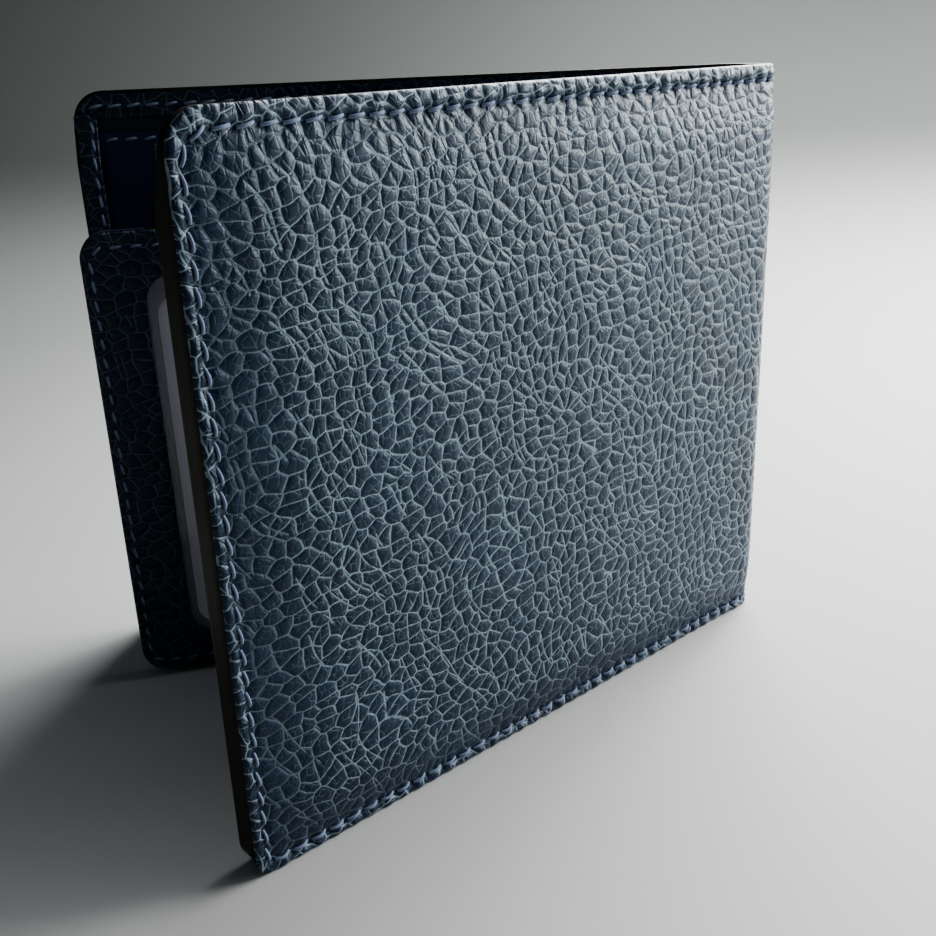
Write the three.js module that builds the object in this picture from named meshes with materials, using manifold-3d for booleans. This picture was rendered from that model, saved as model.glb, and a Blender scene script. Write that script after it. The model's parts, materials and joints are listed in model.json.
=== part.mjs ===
// A leather bifold wallet with a centre leaf, standing open on its bottom edges.
// Millimetres, +Z up. The front cover lies parallel to XZ and faces -Y, the spine is at +X.
// Each cover is built in a frame of its own: x from the free edge to the spine, z up,
// and the layers stacked in y from the outside face inwards.

import * as THREE from 'three';
import Module from 'manifold-3d';
import { mergeVertices } from 'three/addons/utils/BufferGeometryUtils.js';

const wasm = await Module();
wasm.setup();

// Overall sizes
const WALLET_HEIGHT = 90;
const COVER_LENGTH = 98.2; // flat part of a cover, from its free edge to the spine bend
const CLOSED_THICKNESS = 14.1; // outside to outside when the wallet is shut
const CLOSED_BEND_RADIUS = 4.5; // outside radius of each spine bend when the wallet is shut
const STANDING_ANGLE = 35; // between the two covers as the wallet stands, in degrees
const LEAF_ANGLE = 6.6; // between the back cover and the leaf as the wallet stands, in degrees

// Layers of a cover, by thickness
const LEATHER = 1;
const BORDER_LEATHER = 0.8; // where the leather is pressed flat along the seams
const BOARD = 0.5;
const LINING = 0.3;
const FACING = 0.8;
const BILL_GAP = 0.4; // the empty banknote compartment, between the lining and the panel
const PANEL = 0.4;
const POCKET = 0.35;
const BINDING = 0.75;
const LAYER_GAP = 0.1;

// Outside of a cover: the board raises the middle, and the stitched border lies lower
const PAD_RISE = 0.8;
const PAD_SIDE_INSET = 3.4;
const PAD_BOTTOM_INSET = 3.2;
const PAD_TOP_INSET = 4;
const PAD_CORNER = 3;
const PAD_LAP = 0.6; // width of border that the raised middle is made in one with
const PAD_SPINE_END = 1; // width of the strip that joins the border's top and bottom at the spine
const BOARD_CLEARANCE = 0.4;

// Inside of a cover
const POCKET_MOUTHS = [76, 67.5, 59]; // heights of the card slots' mouths
const PANEL_TOP = 84;
const FACING_DEPTH = 5; // height of the turned band along the top edge
const BINDING_WIDTH = 3.4; // width of the turned border at the free edge and the bottom
const BINDING_TOP = 86.6;
const LINING_INSET = 0.8;
const PANEL_INSET = 1.2;
const PANEL_END = 95.9; // where the panel stops short of the spine
const POCKET_END = 95.5;

// Corners
const LEATHER_TOP_CORNER = 4.5;
const LEATHER_BOTTOM_CORNER = 2;
const INNER_CORNER = 3.5;
const MITRE_CORNER = 1;

// Seams
const THREAD_WIDTH = 0.5;
const OUTSIDE_THREAD = 0.25; // how far the outside thread stands up
const INSIDE_THREAD = 0.15;
const THREAD_GAP = 0.02;
const SEAM_SIDE_INSET = 1.6;
const SEAM_BOTTOM_INSET = 1.5;
const SEAM_TOP_INSET = 2.2;
const BINDING_SEAM_INSET = 2.6;

// Segments of each round stretch
const CORNER_SEGMENTS = 6;
const BEND_SEGMENTS = 8;

// Spine
const BEND_CLEARANCE = 0.15; // between a bend and the flat leather beside it

// Leaf, x from its free edge to the fold
const LEAF_LENGTH = 95.7;
const LEAF_BOTTOM = 0.9;
const LEAF_TOP = 71.6;
const LEAF_THICKNESS = 3;
const LEAF_GAP = 0.45; // between the leaf and the back cover's inside when the wallet is shut
const LEAF_CORNER = 4;
const LEAF_FRAME = 0.8;
const LEAF_FILM = 0.2;
const LEAF_BACKING = 0.3;
const LEAF_POCKET = 0.4;
const LEAF_POCKET_MOUTH = 58;
const LEAF_SEAM_INSET = 1.7;
const WINDOW = { left: 8.3, right: 88, bottom: 6.5, top: 65, corner: 4 };
const CARD = { length: 85.6, height: 54, thickness: 0.76, corner: 3.18, left: 9.6, bottom: 7.8 };
const CARD_GAP = 0.15;
const CARD_SIDE_GAP = 0.3;

// Fold strip between the back cover's panel and the leaf
const FOLD_SPINE_INSET = 2; // distance of the fold's axis from the spine end of the cover
const FOLD_AXIS_GAP = 0.05; // how far the axis stands off the cover's inside face
const FOLD_STRIP = 0.5;
const FOLD_CLEARANCE = 0.3;
const FOLD_BOTTOM = 3;
const FOLD_TOP = 69.5;

// Worked out from the sizes above
const BEND_ANGLE = THREE.MathUtils.degToRad((180 - STANDING_ANGLE) / 2);
const NEUTRAL_RADIUS = ((CLOSED_BEND_RADIUS - LEATHER / 2) * Math.PI) / 2 / BEND_ANGLE;
const BEND_RADIUS = NEUTRAL_RADIUS + LEATHER / 2;
const SPINE_WIDTH = CLOSED_THICKNESS - 2 * CLOSED_BEND_RADIUS;
const BOARD_DEPTH = LEATHER + LAYER_GAP;
const LINING_DEPTH = PAD_RISE + BORDER_LEATHER + LAYER_GAP;
const PANEL_DEPTH = LINING_DEPTH + LINING + BILL_GAP;
const POCKET_PITCH = POCKET + LAYER_GAP;
const BINDING_DEPTH = PANEL_DEPTH + PANEL + LAYER_GAP + POCKET_MOUTHS.length * POCKET_PITCH;
const COVER_THICKNESS = BINDING_DEPTH + BINDING;
const FOLD_AXIS_DEPTH = COVER_THICKNESS + FOLD_AXIS_GAP;
const FOLD_RADIUS = FOLD_AXIS_DEPTH - PANEL_DEPTH - PANEL / 2;

const FINISHES = {
  grainLeather: { color: 0x1f2a44, roughness: 0.55, metalness: 0 },
  smoothLeather: { color: 0x141b33, roughness: 0.45, metalness: 0 },
  lining: { color: 0x1a2136, roughness: 0.9, metalness: 0 },
  board: { color: 0x8f8577, roughness: 0.95, metalness: 0 },
  thread: { color: 0x35435f, roughness: 0.6, metalness: 0 },
  film: { color: 0xdfe4ea, roughness: 0.1, metalness: 0 },
  card: { color: 0xd9d8de, roughness: 0.5, metalness: 0 },
};

function named(name, finish, geometry) {
  const mesh = new THREE.Mesh(geometry, new THREE.MeshStandardMaterial(FINISHES[finish]));
  mesh.name = name;
  return mesh;
}

// A closed outline with its own radius at each corner, in the order
// bottom left, bottom right, top right, top left.
function roundedOutline(left, right, bottom, top, radii, path = new THREE.Shape()) {
  const [bl, br, tr, tl] = radii;
  path.moveTo(left + bl, bottom);
  path.lineTo(right - br, bottom);
  if (br) path.absarc(right - br, bottom + br, br, -Math.PI / 2, 0);
  path.lineTo(right, top - tr);
  if (tr) path.absarc(right - tr, top - tr, tr, 0, Math.PI / 2);
  path.lineTo(left + tl, top);
  if (tl) path.absarc(left + tl, top - tl, tl, Math.PI / 2, Math.PI);
  path.lineTo(left, bottom + bl);
  if (bl) path.absarc(left + bl, bottom + bl, bl, Math.PI, Math.PI * 1.5);
  return path;
}

// A flat band along a seam: from the spine along the bottom, up the free edge, back along the top.
function seamOutline(end, left, bottom, top, bottomRadius, topRadius) {
  const half = THREAD_WIDTH / 2;
  const run = new THREE.Shape();
  run.moveTo(end, bottom - half);
  run.lineTo(left + bottomRadius, bottom - half);
  run.absarc(left + bottomRadius, bottom + bottomRadius, bottomRadius + half, Math.PI * 1.5, Math.PI, true);
  run.lineTo(left - half, top - topRadius);
  run.absarc(left + topRadius, top - topRadius, topRadius + half, Math.PI, Math.PI / 2, true);
  run.lineTo(end, top + half);
  run.lineTo(end, top - half);
  run.lineTo(left + topRadius, top - half);
  run.absarc(left + topRadius, top - topRadius, topRadius - half, Math.PI / 2, Math.PI);
  run.lineTo(left + half, bottom + bottomRadius);
  run.absarc(left + bottomRadius, bottom + bottomRadius, bottomRadius - half, Math.PI, Math.PI * 1.5);
  run.lineTo(end, bottom + half);
  return run;
}

// A flat slab: its outline stands in XZ and its thickness runs in y, from `depth` inwards.
// `inwards` is 1 where the inside of the wallet lies towards +y, and -1 where it lies towards -y.
function slab(outline, depth, thickness, inwards) {
  const options = { depth: thickness, bevelEnabled: false, curveSegments: CORNER_SEGMENTS };
  const geometry = new THREE.ExtrudeGeometry(outline, options);
  return geometry.rotateX(Math.PI / 2).translate(0, inwards > 0 ? depth + thickness : -depth, 0);
}

function solid(geometry) {
  const bare = geometry.clone();
  bare.deleteAttribute('normal');
  bare.deleteAttribute('uv');
  const merged = mergeVertices(bare);
  const vertProperties = Float32Array.from(merged.attributes.position.array);
  const triVerts = Uint32Array.from(merged.index.array);
  return new wasm.Manifold(new wasm.Mesh({ numProp: 3, vertProperties, triVerts }));
}

function joined(first, second) {
  const mesh = solid(first).add(solid(second)).getMesh();
  const geometry = new THREE.BufferGeometry();
  geometry.setAttribute('position', new THREE.BufferAttribute(mesh.vertProperties, 3));
  geometry.setIndex(new THREE.BufferAttribute(mesh.triVerts, 1));
  geometry.computeVertexNormals();
  return geometry;
}

// An upright wall bent round a vertical axis, from one angle to another, centred on that axis.
function bentWall(name, finish, radius, thickness, from, to, bottom, top) {
  const wall = new THREE.Shape();
  wall.absarc(0, 0, radius + thickness / 2, from, to);
  wall.absarc(0, 0, radius - thickness / 2, to, from, true);
  const options = { depth: top - bottom, bevelEnabled: false, curveSegments: BEND_SEGMENTS };
  const mesh = named(name, finish, new THREE.ExtrudeGeometry(wall, options));
  mesh.position.z = bottom;
  return mesh;
}

// The turned border along the free edge and the bottom of a cover's inside.
function bindingOutline() {
  const outline = new THREE.Shape();
  outline.moveTo(INNER_CORNER, 0);
  outline.lineTo(POCKET_END, 0);
  outline.lineTo(POCKET_END, BINDING_WIDTH);
  outline.lineTo(BINDING_WIDTH + MITRE_CORNER, BINDING_WIDTH);
  outline.absarc(BINDING_WIDTH + MITRE_CORNER, BINDING_WIDTH + MITRE_CORNER, MITRE_CORNER,
    Math.PI * 1.5, Math.PI, true);
  outline.lineTo(BINDING_WIDTH, BINDING_TOP);
  outline.lineTo(0, BINDING_TOP);
  outline.lineTo(0, INNER_CORNER);
  outline.absarc(INNER_CORNER, INNER_CORNER, INNER_CORNER, Math.PI, Math.PI * 1.5);
  return outline;
}

// The thread along the middle of that border.
function bindingSeamOutline() {
  const half = THREAD_WIDTH / 2;
  const near = BINDING_SEAM_INSET - half;
  const far = BINDING_SEAM_INSET + half;
  const end = POCKET_END - SEAM_SIDE_INSET;
  const top = BINDING_TOP - SEAM_SIDE_INSET;
  const outline = new THREE.Shape();
  outline.moveTo(near, near);
  outline.lineTo(end, near);
  outline.lineTo(end, far);
  outline.lineTo(far, far);
  outline.lineTo(far, top);
  outline.lineTo(near, top);
  return outline;
}

// The outline of a cover's raised middle, drawn in by `inset`, up to `end` at the spine.
function padOutline(inset, end, path = new THREE.Shape()) {
  const corner = PAD_CORNER - inset;
  return roundedOutline(PAD_SIDE_INSET + inset, end, PAD_BOTTOM_INSET + inset,
    WALLET_HEIGHT - PAD_TOP_INSET - inset, [corner, 0, 0, corner], path);
}

// Everything that belongs to one cover. Both covers are built alike.
function cover(side, inwards) {
  const group = new THREE.Group();
  const add = (part, finish, outline, depth, thickness) => {
    group.add(named(`${side}_${part}`, finish, slab(outline, depth, thickness, inwards)));
  };

  const pad = padOutline(0, COVER_LENGTH);
  const border = roundedOutline(0, COVER_LENGTH, 0, WALLET_HEIGHT,
    [LEATHER_BOTTOM_CORNER, 0, 0, LEATHER_TOP_CORNER]);
  border.holes.push(padOutline(PAD_LAP, COVER_LENGTH - PAD_SPINE_END, new THREE.Path()));
  const skin = joined(slab(pad, 0, LEATHER, inwards), slab(border, PAD_RISE, BORDER_LEATHER, inwards));
  group.add(named(`${side}_shell_leather`, 'grainLeather', skin));

  const boardEnd = COVER_LENGTH - PAD_SPINE_END - BOARD_CLEARANCE;
  add('stiffener_board', 'board', padOutline(PAD_LAP + BOARD_CLEARANCE, boardEnd), BOARD_DEPTH, BOARD);

  const facingBottom = WALLET_HEIGHT - FACING_DEPTH;
  const lining = roundedOutline(LINING_INSET, COVER_LENGTH, LINING_INSET,
    facingBottom - LAYER_GAP, [INNER_CORNER, 0, 0, 0]);
  add('shell_lining', 'lining', lining, LINING_DEPTH, LINING);

  const facing = roundedOutline(0, COVER_LENGTH, facingBottom, WALLET_HEIGHT,
    [0, 0, 0, LEATHER_TOP_CORNER]);
  add('top_facing', 'grainLeather', facing, LINING_DEPTH, FACING);

  const panel = roundedOutline(PANEL_INSET, PANEL_END, PANEL_INSET, PANEL_TOP, [INNER_CORNER, 0, 0, 0]);
  add('panel_backing', 'smoothLeather', panel, PANEL_DEPTH, PANEL);

  POCKET_MOUTHS.forEach((mouth, index) => {
    const pocket = roundedOutline(PANEL_INSET, POCKET_END, PANEL_INSET, mouth, [INNER_CORNER, 0, 0, 0]);
    const depth = PANEL_DEPTH + PANEL + LAYER_GAP + index * POCKET_PITCH;
    add(`card_pocket_${index + 1}`, 'smoothLeather', pocket, depth, POCKET);
  });

  add('edge_binding', 'grainLeather', bindingOutline(), BINDING_DEPTH, BINDING);

  const seam = seamOutline(COVER_LENGTH, SEAM_SIDE_INSET, SEAM_BOTTOM_INSET,
    WALLET_HEIGHT - SEAM_TOP_INSET, LEATHER_BOTTOM_CORNER, LEATHER_TOP_CORNER);
  add('outside_seam_thread', 'thread', seam, PAD_RISE - OUTSIDE_THREAD - THREAD_GAP, OUTSIDE_THREAD);

  const facingSeamHeight = WALLET_HEIGHT - SEAM_TOP_INSET - THREAD_WIDTH / 2;
  const facingSeam = roundedOutline(BINDING_WIDTH, COVER_LENGTH, facingSeamHeight,
    facingSeamHeight + THREAD_WIDTH, [0, 0, 0, 0]);
  add('facing_seam_thread', 'thread', facingSeam, LINING_DEPTH + FACING + THREAD_GAP, INSIDE_THREAD);
  add('binding_seam_thread', 'thread', bindingSeamOutline(), COVER_THICKNESS + THREAD_GAP, INSIDE_THREAD);
  return group;
}

// The flat strip between the two spine bends, in a frame whose x runs towards the back cover.
function spine() {
  const group = new THREE.Group();
  const facingBottom = WALLET_HEIGHT - FACING_DEPTH;
  const strip = (bottom, top) => roundedOutline(0, SPINE_WIDTH, bottom, top, [0, 0, 0, 0]);
  const lining = strip(LINING_INSET, facingBottom - LAYER_GAP);
  const add = (name, finish, outline, depth, thickness) => {
    group.add(named(name, finish, slab(outline, depth, thickness, 1)));
  };
  add('spine_leather', 'grainLeather', strip(0, WALLET_HEIGHT), 0, LEATHER);
  add('spine_lining', 'lining', lining, LINING_DEPTH, LINING);
  add('spine_top_facing', 'grainLeather', strip(facingBottom, WALLET_HEIGHT), LINING_DEPTH, FACING);
  return group;
}

// The leaf, in a frame whose y runs from its window side to the side that faces the back cover.
function leaf() {
  const group = new THREE.Group();
  const add = (name, finish, outline, depth, thickness) => {
    group.add(named(name, finish, slab(outline, depth, thickness, 1)));
  };
  const filmDepth = LEAF_FRAME + LAYER_GAP;
  const cardDepth = filmDepth + LEAF_FILM + CARD_GAP;
  const backingDepth = cardDepth + CARD.thickness + CARD_GAP;
  const pocketDepth = LEAF_THICKNESS - LEAF_POCKET;
  const corners = [LEAF_CORNER, 0, 0, LEAF_CORNER];

  const frame = roundedOutline(0, LEAF_LENGTH, LEAF_BOTTOM, LEAF_TOP, corners);
  frame.holes.push(roundedOutline(WINDOW.left, WINDOW.right, WINDOW.bottom, WINDOW.top,
    [WINDOW.corner, WINDOW.corner, WINDOW.corner, WINDOW.corner], new THREE.Path()));
  add('leaf_window_frame', 'grainLeather', frame, 0, LEAF_FRAME);

  const film = roundedOutline(LEAF_SEAM_INSET, LEAF_LENGTH, LEAF_BOTTOM + LEAF_SEAM_INSET,
    LEAF_TOP - LEAF_SEAM_INSET, [MITRE_CORNER, 0, 0, MITRE_CORNER]);
  add('leaf_window_film', 'film', film, filmDepth, LEAF_FILM);

  // The core board fills the pocket below the card and beside it, so the card stands on it.
  const core = new THREE.Shape();
  const coreEdge = CARD.left - CARD_SIDE_GAP;
  const coreStep = CARD.bottom;
  core.moveTo(LEAF_CORNER, LEAF_BOTTOM);
  core.lineTo(LEAF_LENGTH, LEAF_BOTTOM);
  core.lineTo(LEAF_LENGTH, coreStep - THREAD_GAP);
  core.lineTo(coreEdge, coreStep - THREAD_GAP);
  core.lineTo(coreEdge, LEAF_TOP);
  core.lineTo(LEAF_CORNER, LEAF_TOP);
  core.absarc(LEAF_CORNER, LEAF_TOP - LEAF_CORNER, LEAF_CORNER, Math.PI / 2, Math.PI);
  core.lineTo(0, LEAF_BOTTOM + LEAF_CORNER);
  core.absarc(LEAF_CORNER, LEAF_BOTTOM + LEAF_CORNER, LEAF_CORNER, Math.PI, Math.PI * 1.5);
  add('leaf_core_board', 'board', core, cardDepth, CARD.thickness);

  add('leaf_backing', 'smoothLeather', roundedOutline(0, LEAF_LENGTH, LEAF_BOTTOM, LEAF_TOP, corners),
    backingDepth, LEAF_BACKING);
  add('leaf_back_pocket', 'smoothLeather',
    roundedOutline(0, LEAF_LENGTH, LEAF_BOTTOM, LEAF_POCKET_MOUTH, [LEAF_CORNER, 0, 0, 0]),
    pocketDepth, LEAF_POCKET);

  const seam = seamOutline(LEAF_LENGTH, LEAF_SEAM_INSET, LEAF_BOTTOM + LEAF_SEAM_INSET,
    LEAF_TOP - LEAF_SEAM_INSET, LEAF_CORNER - LEAF_SEAM_INSET, LEAF_CORNER - LEAF_SEAM_INSET);
  add('leaf_seam_thread', 'thread', seam, -INSIDE_THREAD - THREAD_GAP, INSIDE_THREAD);

  add('id_card', 'card', roundedOutline(CARD.left, CARD.left + CARD.length, CARD.bottom,
    CARD.bottom + CARD.height, [CARD.corner, CARD.corner, CARD.corner, CARD.corner]),
    cardDepth, CARD.thickness);
  return group;
}

// The front cover stays in the wallet's frame; the leather then bends, runs along the spine,
// bends again and becomes the back cover. A heading is the direction the leather runs in.
const wallet = new THREE.Group();
wallet.name = 'wallet';
wallet.add(cover('front', 1));

const frontBendCentre = new THREE.Vector2(COVER_LENGTH, BEND_RADIUS);
const outwardsAt = (heading) => new THREE.Vector2(Math.sin(heading), -Math.cos(heading));
const alongAt = (heading) => new THREE.Vector2(Math.cos(heading), Math.sin(heading));
const clearanceAngle = BEND_CLEARANCE / NEUTRAL_RADIUS;

const frontBend = bentWall('spine_front_bend', 'grainLeather', NEUTRAL_RADIUS, LEATHER,
  -Math.PI / 2 + clearanceAngle, -Math.PI / 2 + BEND_ANGLE - clearanceAngle, 0, WALLET_HEIGHT);
frontBend.position.x = frontBendCentre.x;
frontBend.position.y = frontBendCentre.y;
wallet.add(frontBend);

const spineStart = frontBendCentre.clone().addScaledVector(outwardsAt(BEND_ANGLE), BEND_RADIUS);
const spineGroup = spine();
spineGroup.position.set(spineStart.x, spineStart.y, 0);
spineGroup.rotation.z = BEND_ANGLE;
wallet.add(spineGroup);

const backBendCentre = frontBendCentre.clone().addScaledVector(alongAt(BEND_ANGLE), SPINE_WIDTH);
const backBend = bentWall('spine_back_bend', 'grainLeather', NEUTRAL_RADIUS, LEATHER,
  -Math.PI / 2 + BEND_ANGLE + clearanceAngle, -Math.PI / 2 + 2 * BEND_ANGLE - clearanceAngle,
  0, WALLET_HEIGHT);
backBend.position.x = backBendCentre.x;
backBend.position.y = backBendCentre.y;
wallet.add(backBend);

// The back cover's own frame has its origin at the free edge, on the outside face.
const backHeading = 2 * BEND_ANGLE;
const backFreeEdge = backBendCentre.clone()
  .addScaledVector(outwardsAt(backHeading), BEND_RADIUS)
  .addScaledVector(alongAt(backHeading), COVER_LENGTH);
const backGroup = cover('back', -1);
backGroup.position.set(backFreeEdge.x, backFreeEdge.y, 0);
backGroup.rotation.z = backHeading - Math.PI;
wallet.add(backGroup);

// The leaf turns about an axis beside the spine end of the back cover's panel, and the fold
// strip runs round that axis from the panel's edge to the middle of the leaf's thickness.
const leafAngle = THREE.MathUtils.degToRad(LEAF_ANGLE);
const foldGroup = new THREE.Group();
foldGroup.position.set(COVER_LENGTH - FOLD_SPINE_INSET, -FOLD_AXIS_DEPTH, 0);
foldGroup.add(bentWall('leaf_fold_strip', 'smoothLeather', FOLD_RADIUS, FOLD_STRIP,
  -Math.PI / 2 + leafAngle, Math.PI / 2, FOLD_BOTTOM, FOLD_TOP));
const leafLayers = leaf();
leafLayers.position.x = -LEAF_LENGTH - FOLD_CLEARANCE;
leafLayers.position.y = FOLD_AXIS_DEPTH - COVER_THICKNESS - LEAF_GAP - LEAF_THICKNESS;
const leafGroup = new THREE.Group();
leafGroup.rotation.z = leafAngle;
leafGroup.add(leafLayers);
foldGroup.add(leafGroup);
backGroup.add(foldGroup);

// The origin is at the middle of the bounding box's bottom.
wallet.updateMatrixWorld(true);
const bounds = new THREE.Box3().setFromObject(wallet, true);
const middle = bounds.getCenter(new THREE.Vector3());
wallet.position.set(-middle.x, -middle.y, -bounds.min.z);

export default wallet;
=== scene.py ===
"""A pebbled leather wallet with a centre leaf, standing open on its edges.

Every length below is in metres unless its docstring says millimetres. A cover is described by
s, the distance from its free edge along the leather towards the spine, z, the height,
and depth, measured inwards from the raised outside face.
"""

import json
import math

import bmesh
import bpy
import numpy as np
from bpy.props import FloatProperty, FloatVectorProperty, PointerProperty
from mathutils import Matrix, Vector


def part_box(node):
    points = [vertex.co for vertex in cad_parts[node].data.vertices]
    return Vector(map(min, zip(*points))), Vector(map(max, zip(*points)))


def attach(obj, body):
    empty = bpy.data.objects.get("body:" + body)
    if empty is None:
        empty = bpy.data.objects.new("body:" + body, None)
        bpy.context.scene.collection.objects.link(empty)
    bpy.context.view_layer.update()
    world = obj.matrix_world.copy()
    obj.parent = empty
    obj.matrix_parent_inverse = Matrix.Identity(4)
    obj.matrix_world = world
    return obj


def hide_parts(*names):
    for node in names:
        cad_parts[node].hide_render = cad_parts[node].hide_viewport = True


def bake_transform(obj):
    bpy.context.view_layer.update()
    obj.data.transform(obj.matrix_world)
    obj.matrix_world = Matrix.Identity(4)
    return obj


bl_info = {
    "name": "Leather wallet",
    "version": (1, 0, 0),
    "blender": (4, 5, 0),
    "location": "View3D > Sidebar > Wallet",
    "description": "Builds the leather, seams, slots and leaf of a folding wallet",
    "category": "Add Mesh",
}

MM = 0.001
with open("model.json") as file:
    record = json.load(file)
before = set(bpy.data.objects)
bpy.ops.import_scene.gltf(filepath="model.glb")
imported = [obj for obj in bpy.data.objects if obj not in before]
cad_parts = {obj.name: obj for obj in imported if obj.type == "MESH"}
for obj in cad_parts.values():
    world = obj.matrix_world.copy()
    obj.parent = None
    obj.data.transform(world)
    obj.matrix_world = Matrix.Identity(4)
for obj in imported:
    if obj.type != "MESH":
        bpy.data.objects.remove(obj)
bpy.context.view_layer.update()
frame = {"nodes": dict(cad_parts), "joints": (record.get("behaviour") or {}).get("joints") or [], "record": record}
record = frame["record"]
cad_nodes = frame["nodes"]
SIDES = ("front", "back")


# ---------------------------------------------------------------- places taken from the frame


def named_entry(entries, name):
    """The record's entry of that name."""
    return next(entry for entry in entries if entry["name"] == name)


def flat(vector):
    """A vector's x and y as an array."""
    return np.array([vector[0], vector[1]], float)


def cad_points(node):
    """The points of a CAD node's mesh."""
    mesh = cad_nodes[node].data
    points = np.empty(len(mesh.vertices) * 3, np.float32)
    mesh.vertices.foreach_get("co", points)
    return points.reshape(-1, 3).astype(float)


class FlatLayers:
    """Straight layers that stand upright: s runs along them, depth across them."""

    def __init__(self, origin, along, inward):
        self.origin, self.along, self.inward = origin, along, inward

    def flat_place(self, s, depth):
        """The distances along and across for a point at s and depth."""
        return s, depth

    def place(self, s, z, depth):
        """Points of the row frame for arrays of s, z and depth."""
        s, z, depth = np.broadcast_arrays(*(np.asarray(v, float) for v in (s, z, depth)))
        a, b = self.flat_place(s, depth)
        x = self.origin[0] + a * self.along[0] + b * self.inward[0]
        y = self.origin[1] + a * self.along[1] + b * self.inward[1]
        return np.stack([x, y, z], -1)

    def measure(self, node):
        """The s, z and depth of every point of a CAD node that lies in these layers."""
        points = cad_points(node)
        offset = points[:, :2] - self.origin
        return offset @ self.along, points[:, 2], offset @ self.inward

    def extent(self, node):
        """The lowest and highest s, z and depth of a CAD node."""
        return tuple(end for values in self.measure(node) for end in (values.min(), values.max()))


class CoverLayers(FlatLayers):
    """A cover's layers, which go on round the bend to the middle of the spine."""

    def __init__(self, side):
        face = named_entry(record["mounts"], f"{side}_face")
        inward = -flat(face["axis"])
        turn = 1 if side == "front" else -1
        along = turn * np.array([inward[1], -inward[0]])
        super().__init__(flat(face["pos_m"]), along, inward)
        reach = self.extent(f"{side}_shell_leather")
        self.origin = self.origin + reach[0] * along
        self.side = side
        self.length = reach[1] - reach[0]
        self.height = reach[3]

    def flat_place(self, s, depth):
        """Where a point of the leather lies before, on and after the bend."""
        angle = np.clip((s - self.length) / self.neutral, 0, BEND)
        rest = np.maximum(s - self.length - self.arc, 0)
        r = self.radius - depth
        a = np.minimum(s, self.length) + r * np.sin(angle) + rest * math.cos(BEND)
        b = self.radius - r * np.cos(angle) + rest * math.sin(BEND)
        return a, b


covers = {side: CoverLayers(side) for side in SIDES}
standing = math.acos(float(covers["front"].along @ covers["back"].along))
BEND = (math.pi - standing) / 2
for cover in covers.values():
    hinge = flat(named_entry(frame["joints"], f"spine_fold_{cover.side}")["pos_m"])
    from_end = hinge - cover.origin - cover.length * cover.along
    cover.neutral = float(from_end @ cover.along) / math.sin(BEND / 2)
    cover.radius = float(from_end @ cover.inward) + cover.neutral * math.cos(BEND / 2)
    cover.arc = cover.neutral * BEND

ends = [cover.place(cover.length + cover.arc, 0, 0)[:2] for cover in covers.values()]
spine = float(np.linalg.norm(ends[1] - ends[0]))
HALF = covers["front"].length + covers["front"].arc + spine / 2
HEIGHT = covers["front"].height

fold = named_entry(frame["joints"], "id_leaf_fold")
LEAF_LEAN = -math.radians(fold["range_deg"][0])
lean = Matrix.Rotation(LEAF_LEAN, 2)
leaf_along = flat(lean @ Vector(covers["back"].along))
leaf_inward = flat(lean @ Vector(-covers["back"].inward))
leaf = FlatLayers(flat(fold["pos_m"]), leaf_along, leaf_inward)
reach = leaf.extent("leaf_window_frame")
leaf.origin = leaf.origin + reach[0] * leaf_along + reach[4] * leaf_inward


# ---------------------------------------------------------------- outlines


def line(start, end, count):
    """Points from start up to, but not including, end."""
    t = np.arange(count) / count
    return np.outer(1 - t, start) + np.outer(t, end)


def arc(centre, radius, start, end, count):
    """Points round a centre from one angle, in degrees, up to but not including another."""
    a = np.radians(start + (end - start) * np.arange(count) / count)
    return np.stack([centre[0] + radius * np.cos(a), centre[1] + radius * np.sin(a)], -1)


def edge_run(end, left, bottom, top, bottom_radius, top_radius, counts):
    """From the spine along the bottom, up the free edge and back along the top."""
    n_side, n_corner, n_edge = counts
    low, high = left + bottom_radius, left + top_radius
    return np.vstack([
        line((end, bottom), (low, bottom), n_side),
        arc((low, bottom + bottom_radius), bottom_radius, 270, 180, n_corner),
        line((left, bottom + bottom_radius), (left, top - top_radius), n_edge),
        arc((high, top - top_radius), top_radius, 180, 90, n_corner),
        line((high, top), (end, top), n_side),
        [(end, top)],
    ])


def rounded_ring(left, right, bottom, top, radii, counts):
    """A closed outline, from the bottom left round to the right, with a radius at each corner."""
    bl, br, tr, tl = radii
    n_side, n_corner, n_edge = counts
    return np.vstack([
        line((left + bl, bottom), (right - br, bottom), n_side),
        arc((right - br, bottom + br), br, -90, 0, n_corner),
        line((right, bottom + br), (right, top - tr), n_edge),
        arc((right - tr, top - tr), tr, 0, 90, n_corner),
        line((right - tr, top), (left + tl, top), n_side),
        arc((left + tl, top - tl), tl, 90, 180, n_corner),
        line((left, top - tl), (left, bottom + bl), n_edge),
        arc((left + bl, bottom + bl), bl, 180, 270, n_corner),
    ])


def corner_run(end, left, bottom, top, radius, counts):
    """From the spine along the bottom and up the free edge."""
    n_side, n_corner, n_edge = counts
    low, high = left + radius, bottom + radius
    return np.vstack([
        line((end, bottom), (low, bottom), n_side),
        arc((low, high), radius, 270, 180, n_corner),
        line((left, high), (left, top), n_edge),
        [(left, top)],
    ])


def evenly(points, step):
    """The same open line, with points about a step apart, and the distance of each along it."""
    gaps = np.linalg.norm(np.diff(points, axis=0), axis=1)
    run = np.concatenate([[0], np.cumsum(gaps)])
    at = np.linspace(0, run[-1], max(2, int(round(run[-1] / step)) + 1))
    return np.stack([np.interp(at, run, points[:, i]) for i in range(points.shape[1])], -1), at


def bell(value, centre, half):
    """1 at the centre, and little left at twice the half width."""
    return np.exp(-(((value - centre) / half) ** 2))


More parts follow.
